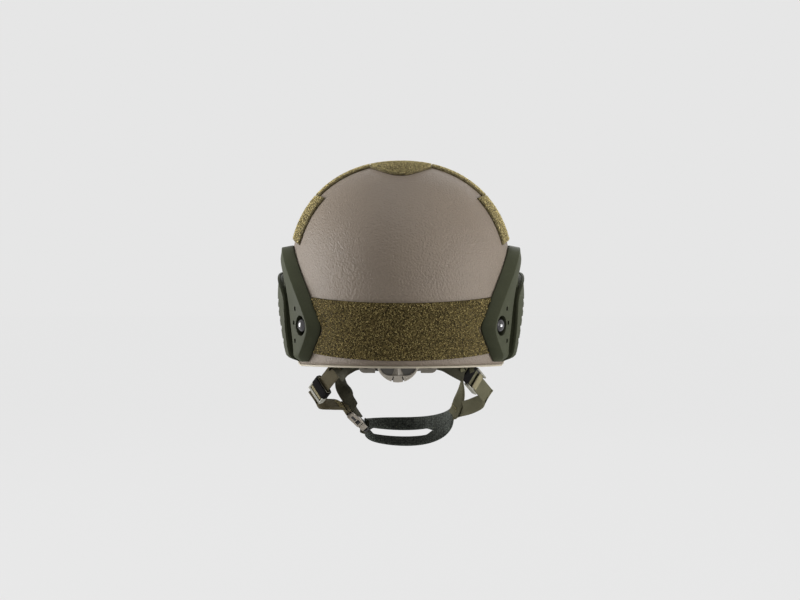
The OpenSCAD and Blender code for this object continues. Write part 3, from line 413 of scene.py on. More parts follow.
# Azimuths all round from the rear: up to 180 degrees on the right, below zero on the left.
half_round = SHELL_COLUMNS // 2
azimuths = [180 * column / half_round for column in [*range(half_round + 1), *range(1 - half_round, 0)]]
rings = []
for az in azimuths:
    outer = [meridian_point(az, rim_angle(az) * j / SHELL_ROWS) for j in range(1, SHELL_ROWS + 1)]
    inner = [raised(p, -WALL) for p in outer[::-1]]
    rings.append(outer + inner)
loop_points = 2 * SHELL_ROWS
shell_points = [p for ring in rings for p in ring]
shell_points += [Vector((0, 0, SHELL_TOP)), Vector((0, 0, SHELL_TOP - WALL))]
crown_out, crown_in = len(shell_points) - 2, len(shell_points) - 1
shell_faces = []
for i in range(SHELL_COLUMNS):
    here, there = i * loop_points, (i + 1) % SHELL_COLUMNS * loop_points
    shell_faces += [(here + j, there + j, there + j + 1, here + j + 1) for j in range(loop_points - 1)]
    shell_faces.append((crown_out, there, here))
    shell_faces.append((crown_in, here + loop_points - 1, there + loop_points - 1))
new_piece("shell_dome", shell_points, shell_faces, shell_coat, replaces=["shell"])

# Edge trim
# A moulded rubber channel pushed over the rim all the way round and glued there. Its lips
# reach 1.1 mm up both faces of the shell.
TRIM_LIP = 0.8
TRIM_COVER = 1.1
TRIM_GAP = 0.3
# Points of the channel's section: how far inside the shell's face, and how far above the rim.
trim_in = WALL + 1.5 * TRIM_GAP
trim_outline = [(-0.05, TRIM_COVER + 0.3), (-0.5, TRIM_COVER), (-TRIM_GAP - TRIM_LIP, TRIM_COVER - 0.8),
                (-TRIM_GAP - TRIM_LIP, -0.3), (-TRIM_GAP - 0.6 * TRIM_LIP, -0.8 * TRIM_LIP),
                (0.2, -TRIM_LIP), (trim_in, -TRIM_LIP),
                (trim_in + 0.7 * TRIM_LIP, -0.7 * TRIM_LIP), (trim_in + TRIM_LIP, 0),
                (trim_in + TRIM_LIP, TRIM_COVER - 0.4), (trim_in + 0.5 * TRIM_LIP, TRIM_COVER),
                (trim_in, TRIM_COVER - 0.3), (trim_in, -TRIM_GAP), (-TRIM_GAP, -TRIM_GAP),
                (-TRIM_GAP, TRIM_COVER - 0.5)]
# Pale cream, lighter than the rubber's own tan: its own colour with a painted highlight along the rim's
# lower edge.
pale_lit_trim = moulded("pale_lit_trim", (0.330, 0.290, 0.215), (0.450, 0.400, 0.310), 0.55, 0.9, 0.08)
trim_points = []
for az in azimuths:
    for inset, height in trim_outline:
        angle = rim_angle(az) - math.degrees(height / SHELL_TOP)
        trim_points.append(raised(meridian_point(az, angle), -inset))
new_piece("rim_channel", trim_points, ring_faces(SHELL_COLUMNS, len(trim_outline), True), pale_lit_trim,
          replaces=["edge_trim"])

# Loop panels
# Woven loop tape cut to shape and glued on the shell: a dense backing 2 mm thick with a pile
# of fine nylon loops standing on it. The backing is coloured far darker than the loops, painted
# shade down in the pile; the crown and the tapes get paler copies of backing and loops, painted
# light where the lamps fall on the top and the sides.
LOOP_LOW = 0.3
LOOP_BACK = 2.0
REAR_LOOP_H = 55.0
REAR_LOOP_GAP = 6.4
REAR_LOOP_BOW = 3.0
RIM_OF_PANEL = 1.4
# The rail's edge beside the rear panel, as azimuth and height at three places, and its gap.
RAIL_EDGE = [(52.5, -79.0), (43.6, -51.0), (53.5, -15.5)]
RAIL_GAP = 1.6


def edge_lines(length):
    """Shares along a panel's side, closer together next to its two rims."""
    rim = RIM_OF_PANEL / length
    inner = max(4, round(length / 6))
    middle = [blend_between(rim, 1 - rim, i / inner) for i in range(inner + 1)]
    return [0, 0.3 * rim] + middle + [1 - 0.3 * rim, 1]


def tufted(name, dark, light, clump):
    """Nylon thread whose tone changes from clump to clump, over a length in mm."""
    finish, tree, surface = blank_finish(name)
    clumps = mottle(tree, on_piece(tree), clump, 2.0, 0.6)
    share = linked(tree, "ShaderNodeMapRange", Value=clumps, From_Min=0.42, From_Max=0.64)
    tree.links.new(tinted(tree, dark, light, share.outputs["Result"]), surface.inputs["Base Color"])
    surface.inputs["Roughness"].default_value = 0.8
    surface.inputs["Specular IOR Level"].default_value = 0.1
    return finish


def panel_sheet(name, spot, width, height, finish, thick, node, low=LOOP_LOW):
    """A sheet laid on the shell with rounded rims; spot(u, v) gives points on the shell."""
    us, vs = edge_lines(width), edge_lines(height)
    columns, rows = len(us), len(vs)
    points = []
    for layer in (0, 1):
        for i, u in enumerate(us):
            for j, v in enumerate(vs):
                inward = min(i, j, columns - 1 - i, rows - 1 - j)
                share = (0.35, 0.82, 1.0)[min(inward, 2)] if layer else 0
                points.append(raised(spot(u, v), low + thick * share))
    faces = []
    for i in range(columns - 1):
        for j in range(rows - 1):
            a, b, c, d = i * rows + j, (i + 1) * rows + j, (i + 1) * rows + j + 1, i * rows + j + 1
            faces.append((a, b, c, d))
            faces.append(tuple(columns * rows + k for k in (d, c, b, a)))
    border = [i * rows for i in range(columns)] + [(columns - 1) * rows + j for j in range(1, rows)]
    border += [i * rows + rows - 1 for i in range(columns - 2, -1, -1)] + list(range(rows - 2, 0, -1))
    for k, a in enumerate(border):
        b = border[(k + 1) % len(border)]
        faces.append((b, a, a + columns * rows, b + columns * rows))
    return new_piece(name, points, faces, finish, replaces=[node])


def between_corners(a, b, c, d):
    """Spots on the shell inside four corners: a to b along u, a to d along v."""
    a, b, c, d = map(Vector, (a, b, c, d))
    return lambda u, v: cast(a.lerp(b, u).lerp(d.lerp(c, u), v))


def mirrored(spot):
    """The same spots on the shell's other side."""
    return lambda u, v: Vector((-1, 1, 1)) * spot(u, v)


def rear_spot(u, v):
    """The rear panel follows the rim, and ends along the rails."""
    side = 2 * u - 1
    z = -REAR_DEPTH + REAR_LOOP_GAP + REAR_LOOP_H * v + REAR_LOOP_BOW * side * side
    low, middle, high = RAIL_EDGE
    end = high if z > middle[1] else low
    az = blend_between(middle[0], end[0], (z - middle[1]) / (end[1] - middle[1])) - RAIL_GAP
    return shell_point(side * az, z)


upper_spot = between_corners((29.7, -30, 107), (29.7, 52, 98), (84, 40, 70.2), (81.2, -30, 78.6))
side_spot = between_corners((76, -53, 76.5), (88, 44, 72), (106, 52, 36), (101, -52, 29.7))
CROWN_HALF_W = 29.0
CROWN_REAR = 75.0
CROWN_ROUND = 41.0
CROWN_FRONT = 44.0
CROWN_REAR_Z = 101.0
CROWN_FRONT_Z = 104.0


def crown_spot(u, v):
    """The crown patch's rear edge bows outwards."""
    side = 2 * u - 1
    rear = CROWN_ROUND * side * side - CROWN_REAR
    return cast((side * CROWN_HALF_W, blend_between(rear, CROWN_FRONT, v),
                 blend_between(CROWN_REAR_Z, CROWN_FRONT_Z, v)))


front_spot = between_corners((40, 104, 38), (28, 70, 88), (-28, 70, 88), (-40, 104, 38))
# Painted shade in the backings' dark tones; the paler copies for the crown and the tapes are painted light.
backing_in_shade = tufted("backing_in_shade", (0.022, 0.016, 0.005), (0.120, 0.092, 0.034), 2.0)
loop_fibre = tufted("loop_fibre", (0.085, 0.065, 0.022), (0.820, 0.660, 0.290), 1.4)
lit_fibre = tufted("lit_fibre", (0.240, 0.196, 0.090), (0.920, 0.780, 0.390), 1.3)
lit_backing_shade = tufted("lit_backing_shade", (0.060, 0.048, 0.022), (0.200, 0.165, 0.085), 1.6)
panels = [("rear_loop", rear_spot, 200, 55, "rear_loop_panel", loop_fibre),
          ("crown_loop", crown_spot, 58, 106, "crown_loop_patch", lit_fibre),
          ("front_loop", front_spot, 60, 68, "front_loop_panel", loop_fibre),
          ("right_upper_tape", upper_spot, 66, 56, "right_upper_loop", lit_fibre),
          ("left_upper_tape", mirrored(upper_spot), 66, 56, "left_upper_loop", lit_fibre),
          ("right_side_tape", side_spot, 106, 38, "right_side_loop", lit_fibre),
          ("left_side_tape", mirrored(side_spot), 106, 38, "left_side_loop", lit_fibre)]

# One loop of the pile: a bent thread with its two ends in the backing.
LOOP_TALL = 1.15
LOOP_WIDE = 1.0
THREAD_R = 0.14
loop_rings = []
for i in range(5):
    a = math.radians(-20 + 55 * i)
    middle = Vector((math.cos(a) * LOOP_WIDE / 2, 0.18 * math.sin(2 * a), math.sin(a) * LOOP_TALL * 0.85))
    out, beside = Vector((math.cos(a), 0, math.sin(a))) * THREAD_R, Vector((0, THREAD_R, 0))
    loop_rings.append([middle + out, middle + beside - out * 0.5, middle - beside - out * 0.5])


def seed_mesh(name, rings):
    """One of the small things that a node tree repeats: a tube through rings of points in mm."""
    mesh = bpy.data.meshes.new(name)
    mesh.from_pydata([tuple(p / 1000) for ring in rings for p in ring], [],
                     ring_faces(len(rings), len(rings[0]), False))
    mesh.shade_smooth()
    return placed(name, mesh)


def node_group(name, inputs):
    """An empty Geometry Nodes tree with named inputs; returns it with its two end nodes."""
    group = bpy.data.node_groups.new(name, "GeometryNodeTree")
    group.interface.new_socket("Geometry", in_out="INPUT", socket_type="NodeSocketGeometry")
    for label, kind in inputs:
        group.interface.new_socket(label, in_out="INPUT", socket_type="NodeSocket" + kind)
    group.interface.new_socket("Geometry", in_out="OUTPUT", socket_type="NodeSocketGeometry")
    return group, group.nodes.new("NodeGroupInput"), group.nodes.new("NodeGroupOutput")


def repeat_over(base, group, values, name):
    """Runs a node tree on a base mesh, keeps the result as a plain mesh and removes the base."""
    run = base.modifiers.new("repeat", "NODES")
    run.node_group = group
    for item in group.interface.items_tree:
        if item.in_out == "INPUT" and item.name in values:
            run[item.identifier] = values[item.name]
    bpy.context.view_layer.update()
    mesh = bpy.data.meshes.new_from_object(base.evaluated_get(bpy.context.evaluated_depsgraph_get()))
    mesh.name = name
    bpy.data.objects.remove(base)
    piece = placed(name, mesh)
    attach(piece, "helmet")
    return piece


def set_out(tree, given, result, thing, points, rotation, scale):
    """Ends a node tree: a copy of a thing on every point, made real and given its finish."""
    source = linked(tree, "GeometryNodeObjectInfo", Object=given[thing])
    stand = linked(tree, "GeometryNodeInstanceOnPoints", Points=points, Instance=source.outputs["Geometry"],
                   Rotation=rotation, Scale=scale)
    real = linked(tree, "GeometryNodeRealizeInstances", Geometry=stand.outputs["Instances"])
    painted = linked(tree, "GeometryNodeSetMaterial", Geometry=real.outputs["Geometry"],
                     Material=given["Finish"])
    tree.links.new(painted.outputs["Geometry"], result.inputs["Geometry"])


PILE_PER_MM2 = 0.62
PILE_LEAN = 0.45
PILE_TURN = 3.14
PILE_SMALLEST = 0.7
PILE_LARGEST = 1.2
pile_tree, pile_in, pile_out = node_group("pile", [("Density", "Float"), ("Seed", "Int"), ("Loop", "Object"),
                                                   ("Finish", "Material")])
given = pile_in.outputs
strewn = linked(pile_tree, "GeometryNodeDistributePointsOnFaces", Mesh=given["Geometry"],
                Density=given["Density"], Seed=given["Seed"])
spin = linked(pile_tree, "FunctionNodeRandomValue", {"data_type": "FLOAT_VECTOR"}, Seed=given["Seed"],
              Min=(-PILE_LEAN, -PILE_LEAN, -PILE_TURN), Max=(PILE_LEAN, PILE_LEAN, PILE_TURN))
spin_turn = linked(pile_tree, "FunctionNodeEulerToRotation", Euler=spin.outputs["Value"])
turned = linked(pile_tree, "FunctionNodeRotateRotation", {"rotation_space": "LOCAL"},
                Rotation=strewn.outputs["Rotation"], Rotate_By=spin_turn.outputs["Rotation"])
# Inputs 2 and 3 of a random float are its least and its most, and output 1 is the float.
size = linked(pile_tree, "FunctionNodeRandomValue", {"data_type": "FLOAT"})
size.inputs[2].default_value = PILE_SMALLEST
size.inputs[3].default_value = PILE_LARGEST
set_out(pile_tree, given, pile_out, "Loop", strewn.outputs["Points"], turned.outputs["Rotation"],
        size.outputs[1])

PILE_CELL = 6.0
PILE_MARGIN = 0.7
PILE_ROOT = 0.96
loop_seed = seed_mesh("pile_loop", loop_rings)
for number, (name, spot, width, height, node, fibre) in enumerate(panels):
    backing = lit_backing_shade if fibre is lit_fibre else backing_in_shade
    panel_sheet(name + "_back", spot, width, height, backing, LOOP_BACK, node)
    cells_u, cells_v = round(width / PILE_CELL), round(height / PILE_CELL)
    us, vs = ([blend_between(PILE_MARGIN / side, 1 - PILE_MARGIN / side, i / cells)
               for i in range(cells + 1)] for side, cells in ((width, cells_u), (height, cells_v)))
    corners = [raised(spot(u, v), LOOP_LOW + LOOP_BACK * PILE_ROOT) for u in us for v in vs]
    rows = cells_v + 1
    faces = [(i * rows + j, i * rows + j + 1, (i + 1) * rows + j + 1, (i + 1) * rows + j)
             for i in range(cells_u) for j in range(cells_v)]
    if surface_normal(corners[0]).dot((corners[1] - corners[0]).cross(corners[rows] - corners[0])) < 0:
        faces = [face[::-1] for face in faces]
    field = bpy.data.meshes.new(name + "_field")
    field.from_pydata([tuple(p / 1000) for p in corners], [], faces)
    values = {"Density": PILE_PER_MM2 * 1e6, "Seed": 11 + number, "Loop": loop_seed, "Finish": fibre}
    pile = repeat_over(placed(name + "_field", field), pile_tree, values, name + "_pile")
bpy.data.objects.remove(loop_seed)

# Rails
# Moulded nylon rails, one on each side: a wide plate towards the rear, a lip towards the ear
# and a channel between them. Each is held by two bolts.


def joined_edges(edges):
    """Edges sorted into groups that hang together."""
    waiting = set(edges)
    groups = []
    for edge in edges:
        if edge not in waiting:
            continue
        waiting.remove(edge)
        group, ahead = [], [edge]
        while ahead:
            reached = ahead.pop()
            group.append(reached)
            near = waiting.intersection(e for v in reached.verts for e in v.link_edges)
            waiting -= near
            ahead.extend(near)
        groups.append(group)
    return groups


def widest(edges):
    """Longest side in mm of the box round some edges."""
    spots = [v.co for e in edges for v in e.verts]
    return 1000 * max(max(axis) - min(axis) for axis in zip(*spots))


def hard_part(node, finish, edge, body="helmet", turn=30, merge=1.0, pocket=0):
    """A moulded or machined part: its facets merged, its sharp edges rounded by an edge in mm.

    Pockets narrower than a width in mm keep their sharp edges."""
    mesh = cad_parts[node].data.copy()
    shape = bmesh.new()
    shape.from_mesh(mesh)
    bmesh.ops.remove_doubles(shape, verts=shape.verts, dist=2e-6)
    bmesh.ops.dissolve_limit(shape, angle_limit=math.radians(merge), verts=shape.verts, edges=shape.edges)
    surface = BVHTree.FromBMesh(shape)
    sharp = [e for e in shape.edges if e.is_manifold and e.calc_face_angle() > math.radians(turn)]
    tight = {v for e in sharp if e.calc_length() < 2 * edge / 1000 for v in e.verts}
    sharp = [e for e in sharp if not tight.intersection(e.verts)]
    in_pockets = {e for group in joined_edges(sharp) if widest(group) < pocket for e in group}
    sharp = [e for e in sharp if e not in in_pockets]
    bmesh.ops.bevel(shape, geom=sharp, offset=edge / 1000, segments=2, profile=0.5, affect="EDGES",
                    clamp_overlap=False)
    for v in shape.verts:
        nearest, _, _, distance = surface.find_nearest(v.co)
        if distance > 0.75 * edge / 1000:
            v.co = nearest
    shape.to_mesh(mesh)
    shape.free()
    mesh.name = node + "_body"
    if "custom_normal" in mesh.attributes:
        mesh.attributes.remove(mesh.attributes["custom_normal"])
    mesh.shade_smooth()
    mesh.set_sharp_from_angle(angle=math.radians(40))
    mesh.materials.clear()
    mesh.materials.append(finish)
    piece = placed(node + "_body", mesh)
    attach(piece, body)
    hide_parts(node)
    return piece


RAIL_EDGE_R = 0.5
RAIL_POCKET = 8.0
# Painted shade darkens this plastic in its slots, holes and recesses, on the rails and the shroud.
rail_plastic = moulded("rail_plastic", (0.029, 0.032, 0.018), (0.060, 0.064, 0.038), 0.6, 1.6, 0.05,
                       patch=30, gloss=0.08, shade_reach=6, least=0.45)
for node in ("left_rail", "right_rail"):
    hard_part(node, rail_plastic, RAIL_EDGE_R, merge=0.05, pocket=RAIL_POCKET)

# Bolts, nuts and anchors
# Black domed bolts with a crossed slot, their nuts inside the shell, and the bent steel
# anchors under the nuts that the straps are sewn to.
dark_steel = moulded("dark_steel", (0.003, 0.002, 0.003), (0.010, 0.008, 0.010), 0.2, 2.5, 0.01, gloss=0.4)
hard_part("rail_bolts", dark_steel, 0.3)
hard_part("rail_nuts", dark_steel, 0.3)
# The rear heads are high polished domes that stand out of their recesses.
REAR_BOLT = (53.0, -48.0)
DOME_R = 6.9
DOME_UP = 3.6
DOME_SUNK = 1.2
HEAD_REACH = 40.0
DOME_COLUMNS = 32
bolt_metal = moulded("bolt_metal", (0.006, 0.005, 0.006), (0.022, 0.019, 0.022), 0.16, 2.5, 0.02, gloss=0.9)
dome_turns = [2 * math.pi * k / DOME_COLUMNS for k in range(DOME_COLUMNS)]
for side, name in ((-1, "left"), (1, "right")):
    seat = shell_point(side * REAR_BOLT[0], REAR_BOLT[1])
    axis = surface_normal(seat)
    u = axis.orthogonal().normalized()
    v = axis.cross(u)
    corners = [corner.co * 1000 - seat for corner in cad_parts["rail_bolts"].data.vertices]
    base = max(corner.dot(axis) for corner in corners if corner.length < HEAD_REACH) - DOME_SUNK
    dome = []
    for share in (0.0, 0.25, 0.5, 0.7, 0.85, 0.95, 1.0):
        reach = DOME_R * math.sqrt(max(0.02, 1 - share ** 2))
        middle = seat + axis * (base + (DOME_UP + DOME_SUNK) * share)
        dome += [middle + (u * math.cos(a) + v * math.sin(a)) * reach for a in dome_turns]
    new_piece(name + "_bolt_dome", dome, ring_faces(len(dome) // DOME_COLUMNS, DOME_COLUMNS, False),
              bolt_metal)
hard_part("strap_anchors", dark_steel, 0.35)

# Front shroud
# A moulded nylon plate with a pocket for an accessory's foot. It is seated on the brow, and one
# steel screw holds it through the shell, with a nut inside.
hard_part("shroud", rail_plastic, 0.6)
hard_part("shroud_screw", dark_steel, 0.25)
hard_part("shroud_nut", dark_steel, 0.3)

# Hook discs
# Round tabs of hook tape, glued inside the shell. The liner pads are pressed onto them and can be
# pulled off again.
hook_tape = moulded("hook_tape", (0.006, 0.006, 0.005), (0.028, 0.026, 0.022), 0.85, 0.8, 0.3)
hard_part("hook_discs", hook_tape, 0.3)

# Liner pads
# Foam pads in a knitted cover, crowned towards the head. The cover's two halves are sewn together
# round the edge, under a welt.
DISC_GAP = 0.6
DISC_T = 1.6
PAD_GAP = 0.3
PAD_BASE = WALL + DISC_GAP + DISC_T + PAD_GAP
PAD_EDGE = 11.0
PAD_THICK = 19.0
PAD_CELLS = 22
WELT_R = 0.9
# How far a pad's faces are drawn in, and the heights of its wall with how far it is drawn in there.
FACE_DRAW = 0.93
WALL_ROWS = [(0.08, 0.965), (0.3, 0.99), (0.6, 0.995), (0.86, 0.975), (0.95, 0.95)]
WELT_ROW = (0.93, 0.968)


def knitted(name, dark, light, stitch, depth):
    """A knitted cloth: small cells of a stitch's size in mm, darker between them."""
    finish, tree, surface = blank_finish(name)
    place = on_piece(tree)
    cells = linked(tree, "ShaderNodeTexVoronoi", Vector=place, Scale=1000 / stitch, Randomness=0.55)
    cells = cells.outputs["Distance"]
    tone = weighed(tree, (cells, 0.9), (mottle(tree, place, 22, 3.0), 0.45))
    tree.links.new(tinted(tree, light, dark, tone), surface.inputs["Base Color"])
    surface.inputs["Roughness"].default_value = 0.86
    surface.inputs["Specular IOR Level"].default_value = 0.25
    dented(tree, surface, cells, -depth)
    return finish


def tube(name, line, radius, finish, body, sides=8):
    """A closed cord of round section along a line of points in mm."""
    points = []
    count = len(line)
    for i, p in enumerate(line):
        way = (line[(i + 1) % count] - line[i - 1]).normalized()
        out = way.cross(way.orthogonal()).normalized() if i == 0 else (out - way * out.dot(way)).normalized()
        side = way.cross(out)
        for k in range(sides):
            a = 2 * math.pi * k / sides
            points.append(p + (out * math.cos(a) + side * math.sin(a)) * radius)
    return new_piece(name, points, ring_faces(count, sides, True), finish, body=body)


def cushion(name, spot, base, edge, swell, finish, nodes, body="helmet"):
    """A foam pad: spot(u, v, height) gives its points, the outline drawn in at its two faces."""
    n = PAD_CELLS
    lines = [2 * i / n - 1 for i in range(n + 1)]
    points, index = [], {}

    def put(key, u, v, height):
        index[key] = len(points)
        points.append(spot(u, v, height))

    for i, u in enumerate(lines):
        for j, v in enumerate(lines):
            bulge = ((1 - u ** 4) * (1 - v ** 4)) ** 0.4
            put(("low", i, j), u * FACE_DRAW, v * FACE_DRAW, base)
            put(("high", i, j), u * FACE_DRAW, v * FACE_DRAW, base + edge + swell * bulge)
    border = [(i, 0) for i in range(n)] + [(n, j) for j in range(n)]
    border += [(i, n) for i in range(n, 0, -1)] + [(0, j) for j in range(n, 0, -1)]
    for row, (share, draw) in enumerate(WALL_ROWS):
        for i, j in border:
            put(("wall", row, i, j), lines[i] * draw, lines[j] * draw, base + edge * share)
    faces = []
    for i in range(n):
        for j in range(n):
            square = [(i, j), (i + 1, j), (i + 1, j + 1), (i, j + 1)]
            faces.append([index[("high", *k)] for k in square])
            faces.append([index[("low", *k)] for k in square[::-1]])
    levels = [[("low", *k) for k in border]]
    levels += [[("wall", row, *k) for k in border] for row in range(len(WALL_ROWS))]
    levels.append([("high", *k) for k in border])
    for lower, upper in zip(levels, levels[1:]):
        for k in range(len(border)):
            m = (k + 1) % len(border)
            faces.append([index[lower[k]], index[lower[m]], index[upper[m]], index[upper[k]]])
    pad = new_piece(name, points, faces, finish, body=body, replaces=nodes)
    share, draw = WELT_ROW
    welt = [spot(lines[i] * draw, lines[j] * draw, base + edge * share) for i, j in border]
    tube(name + "_welt", welt, WELT_R, welt_tape, body)


def pad_spot(way, half_u, half_v, round_share):
    """A pad's points from its middle and half sizes; its outline is a square drawn to a disc."""
    middle = cast(way)
    normal = surface_normal(middle)
    side = Vector((1, 0, 0)) if abs(normal.z) > 0.9 else Vector((0, 0, 1)).cross(normal).normalized()
    up = normal.cross(side)

    def spot(u, v, height):
        x = blend_between(u, u * math.sqrt(1 - v * v / 2), round_share)
        y = blend_between(v, v * math.sqrt(1 - u * u / 2), round_share)
        return raised(cast(middle + side * (x * half_u) + up * (y * half_v)), -height)
    return spot


pad_cloth = knitted("pad_cloth", (0.014, 0.013, 0.010), (0.075, 0.068, 0.055), 1.5, 0.35)
welt_tape = moulded("welt_tape", (0.012, 0.011, 0.009), (0.045, 0.040, 0.032), 0.8, 0.9, 0.1)
pads = [("crown", (0, 8, 100), 60, 60, 0.9),
        ("front", (0, 130, 0), 58, 25, 0.45), ("rear", (0, -128, 0), 58, 33, 0.45),
        ("left_front", (-88, 70, 40), 31, 36, 0.45), ("left_rear", (-98, -52, 34), 32, 37, 0.45),
        ("right_front", (88, 70, 40), 31, 36, 0.45), ("right_rear", (98, -52, 34), 32, 37, 0.45)]
for name, way, half_u, half_v, round_share in pads:
    cushion(name + "_cushion", pad_spot(way, half_u, half_v, round_share), PAD_BASE, PAD_EDGE,
            PAD_THICK - PAD_EDGE, pad_cloth, [name + "_pad"])

# Nape bracket
# A moulded housing behind the wearer's nape; a dial turns a pinion that draws the two wings
# in or lets them out. Each wing ends in a rubber roller for its strap.
dial_plastic = moulded("dial_plastic", (0.300, 0.270, 0.225), (0.430, 0.395, 0.340), 0.45, 1.4, 0.05)
wing_plastic = moulded("wing_plastic", (0.160, 0.145, 0.118), (0.250, 0.230, 0.195), 0.5, 1.4, 0.05)
roller_rubber = moulded("roller_rubber", (0.004, 0.004, 0.004), (0.014, 0.013, 0.012), 0.6, 1.0, 0.08)
hard_part("nape_housing", wing_plastic, 0.5)
hard_part("dial_shaft", dark_steel, 0.15, body="dial")
for side in ("left", "right"):
    hard_part(side + "_wing", wing_plastic, 0.5, body=side + "_wing")
    hard_part(side + "_wing_roller", roller_rubber, 0.4, body=side + "_wing")

# The knob's recess swells into three bays; three spokes cross it, and two grip notches lie
# beside each spoke. Dark sheets on the bays' floors are painted shade in the recess, and a black
# ring inside the knob, seen only through the notches, is painted shade in them.
DIAL_X = -3.0
DIAL_Z = -80.0
DIAL_BACK = 106.0
DIAL_FACE = 115.5
DIAL_FLOOR = 112.3
DIAL_R = 21.0
DIAL_HUB_R = 5.2
BAY_R = 19.0
BAY_WAIST_R = 14.0
SPOKE_UP = 2.5
SPOKE_HALF = 24.0
NOTCH_AT = 15.5
NOTCH_HALF = 1.9
NOTCH_R = 15.7
BAY_FROM = 22.0
BAY_SPAN = 76.0
BAY_STEPS = 12
CORE_R = (7.0, 20.4)
CORE_BACK = (1.0, 2.0)
CORE_SIDES = 24
bay_shade_plastic = moulded("bay_shade_plastic", (0.070, 0.066, 0.058), (0.120, 0.112, 0.098), 0.5, 1.4, 0.05)


def dial_point(radius, turn, back):
    """Place at a radius and a height of the dial, at an angle from straight down."""
    a = math.radians(turn)
    return Vector((DIAL_X + radius * math.sin(a), -back, DIAL_Z - radius * math.cos(a)))


def bay_radius(turn):
    """Outer radius of the recess, which swells three times round the dial."""
    return BAY_WAIST_R + (BAY_R - BAY_WAIST_R) * (1 - math.cos(math.radians(3 * turn))) / 2


def knob_profile(turn):
    """The knob's outline in radius and height at an angle, from its back round to its bore."""
    off_spoke = abs((turn + 60) % 120 - 60)
    outer = NOTCH_R if abs(off_spoke - NOTCH_AT) < NOTCH_HALF else DIAL_R
    bay, edge = bay_radius(turn), (0.2 if outer == NOTCH_R else 0.5)
    floor = DIAL_FLOOR + SPOKE_UP * max(0, 1 - off_spoke / SPOKE_HALF)
    return [(DIAL_HUB_R, DIAL_BACK), (outer - edge, DIAL_BACK), (outer, DIAL_BACK + 0.5),
            (outer, DIAL_FACE - edge), (outer - edge, DIAL_FACE), (bay + 0.3, DIAL_FACE),
            (bay, DIAL_FACE - 0.3), (bay, floor), (DIAL_HUB_R, floor - 0.6)]


# Two turns close together at each side of a notch keep its walls steep.
near_notch = [lobe + side * (NOTCH_AT + rim * (NOTCH_HALF + skip)) for lobe in (0, 120, 240)
              for side in (-1, 1) for rim in (-1, 1) for skip in (-0.06, 0.06)]
turns = sorted([turn % 360 for turn in near_notch] + [6 * k for k in range(60)])
knob_rings = [[dial_point(r, turn, back) for r, back in knob_profile(turn)] for turn in turns]
knob = new_piece("dial_grip", [p for ring in knob_rings for p in ring],
                 ring_faces(len(turns), len(knob_rings[0]), True), dial_plastic, body="dial",
                 replaces=["dial_knob"])
knob.data.set_sharp_from_angle(angle=math.radians(25))
# Dark sheets on the bays' floors: painted shade in the recess.
for number in range(3):
    bay = []
    for k in range(BAY_STEPS + 1):
        turn = 120 * number + BAY_FROM + BAY_SPAN * k / BAY_STEPS
        inner, outer = DIAL_HUB_R + 1, bay_radius(turn) - 0.4
        bay += [dial_point(r, turn, DIAL_FLOOR + back)
                for r, back in ((inner, -0.3), (inner, 0.5), (outer, 0.5), (outer, -0.3))]
    new_piece("dial_bay_%d" % number, bay, ring_faces(BAY_STEPS + 1, 4, False), bay_shade_plastic, body="dial",
              smooth=False)
# A black ring inside the knob, seen through the notches: painted shade in them.
near, far = CORE_R
low, high = CORE_BACK
core = [dial_point(r, 360 * k / CORE_SIDES, DIAL_BACK + back)
        for r, back in ((near, low), (far, low), (far, high), (near, high)) for k in range(CORE_SIDES)]
new_piece("dial_core", core, ring_faces(4, CORE_SIDES, True), roller_rubber, body="dial")

# The pad on the bracket's inner side, which the nape rests on.
NAPE_FACE = 97.1
NAPE_HALF_W = 40.0
NAPE_HALF_H = 13.0
NAPE_BASE = 5.5
NAPE_EDGE = 5.0
NAPE_SWELL = 7.0


def nape_spot(u, v, height):
    """The nape pad's points, its outline an oblong with its corners drawn in."""
    x = u * math.sqrt(1 - v * v / 3)
    z = v * math.sqrt(1 - u * u / 3)
    return Vector((DIAL_X + x * NAPE_HALF_W, -NAPE_FACE + height, DIAL_Z + z * NAPE_HALF_H))


cushion("nape_cushion", nape_spot, NAPE_BASE, NAPE_EDGE, NAPE_SWELL, pad_cloth, ["nape_pad"])

# Straps
# Nylon webbing 16 mm wide and 1.6 mm thick, woven in a fine herringbone. The ends are sewn
# round the bars of the anchors and the buckle, and where two straps meet they are sewn flat.
WEB_W = 16.0
WEB_T = 1.6
BAR_GAP = 0.3
# The section's upper side, thicker at the two rims; the lower side is the same, turned round.
WEB_SIDE = [(-1.0, 0.0), (-0.975, 0.7), (-0.9, 1.0), (-0.45, 0.94), (0.0, 0.94), (0.45, 0.94), (0.9, 1.0),
            (0.975, 0.7)]
WEB_SECTION = WEB_SIDE + [(-x, -z) for x, z in WEB_SIDE]


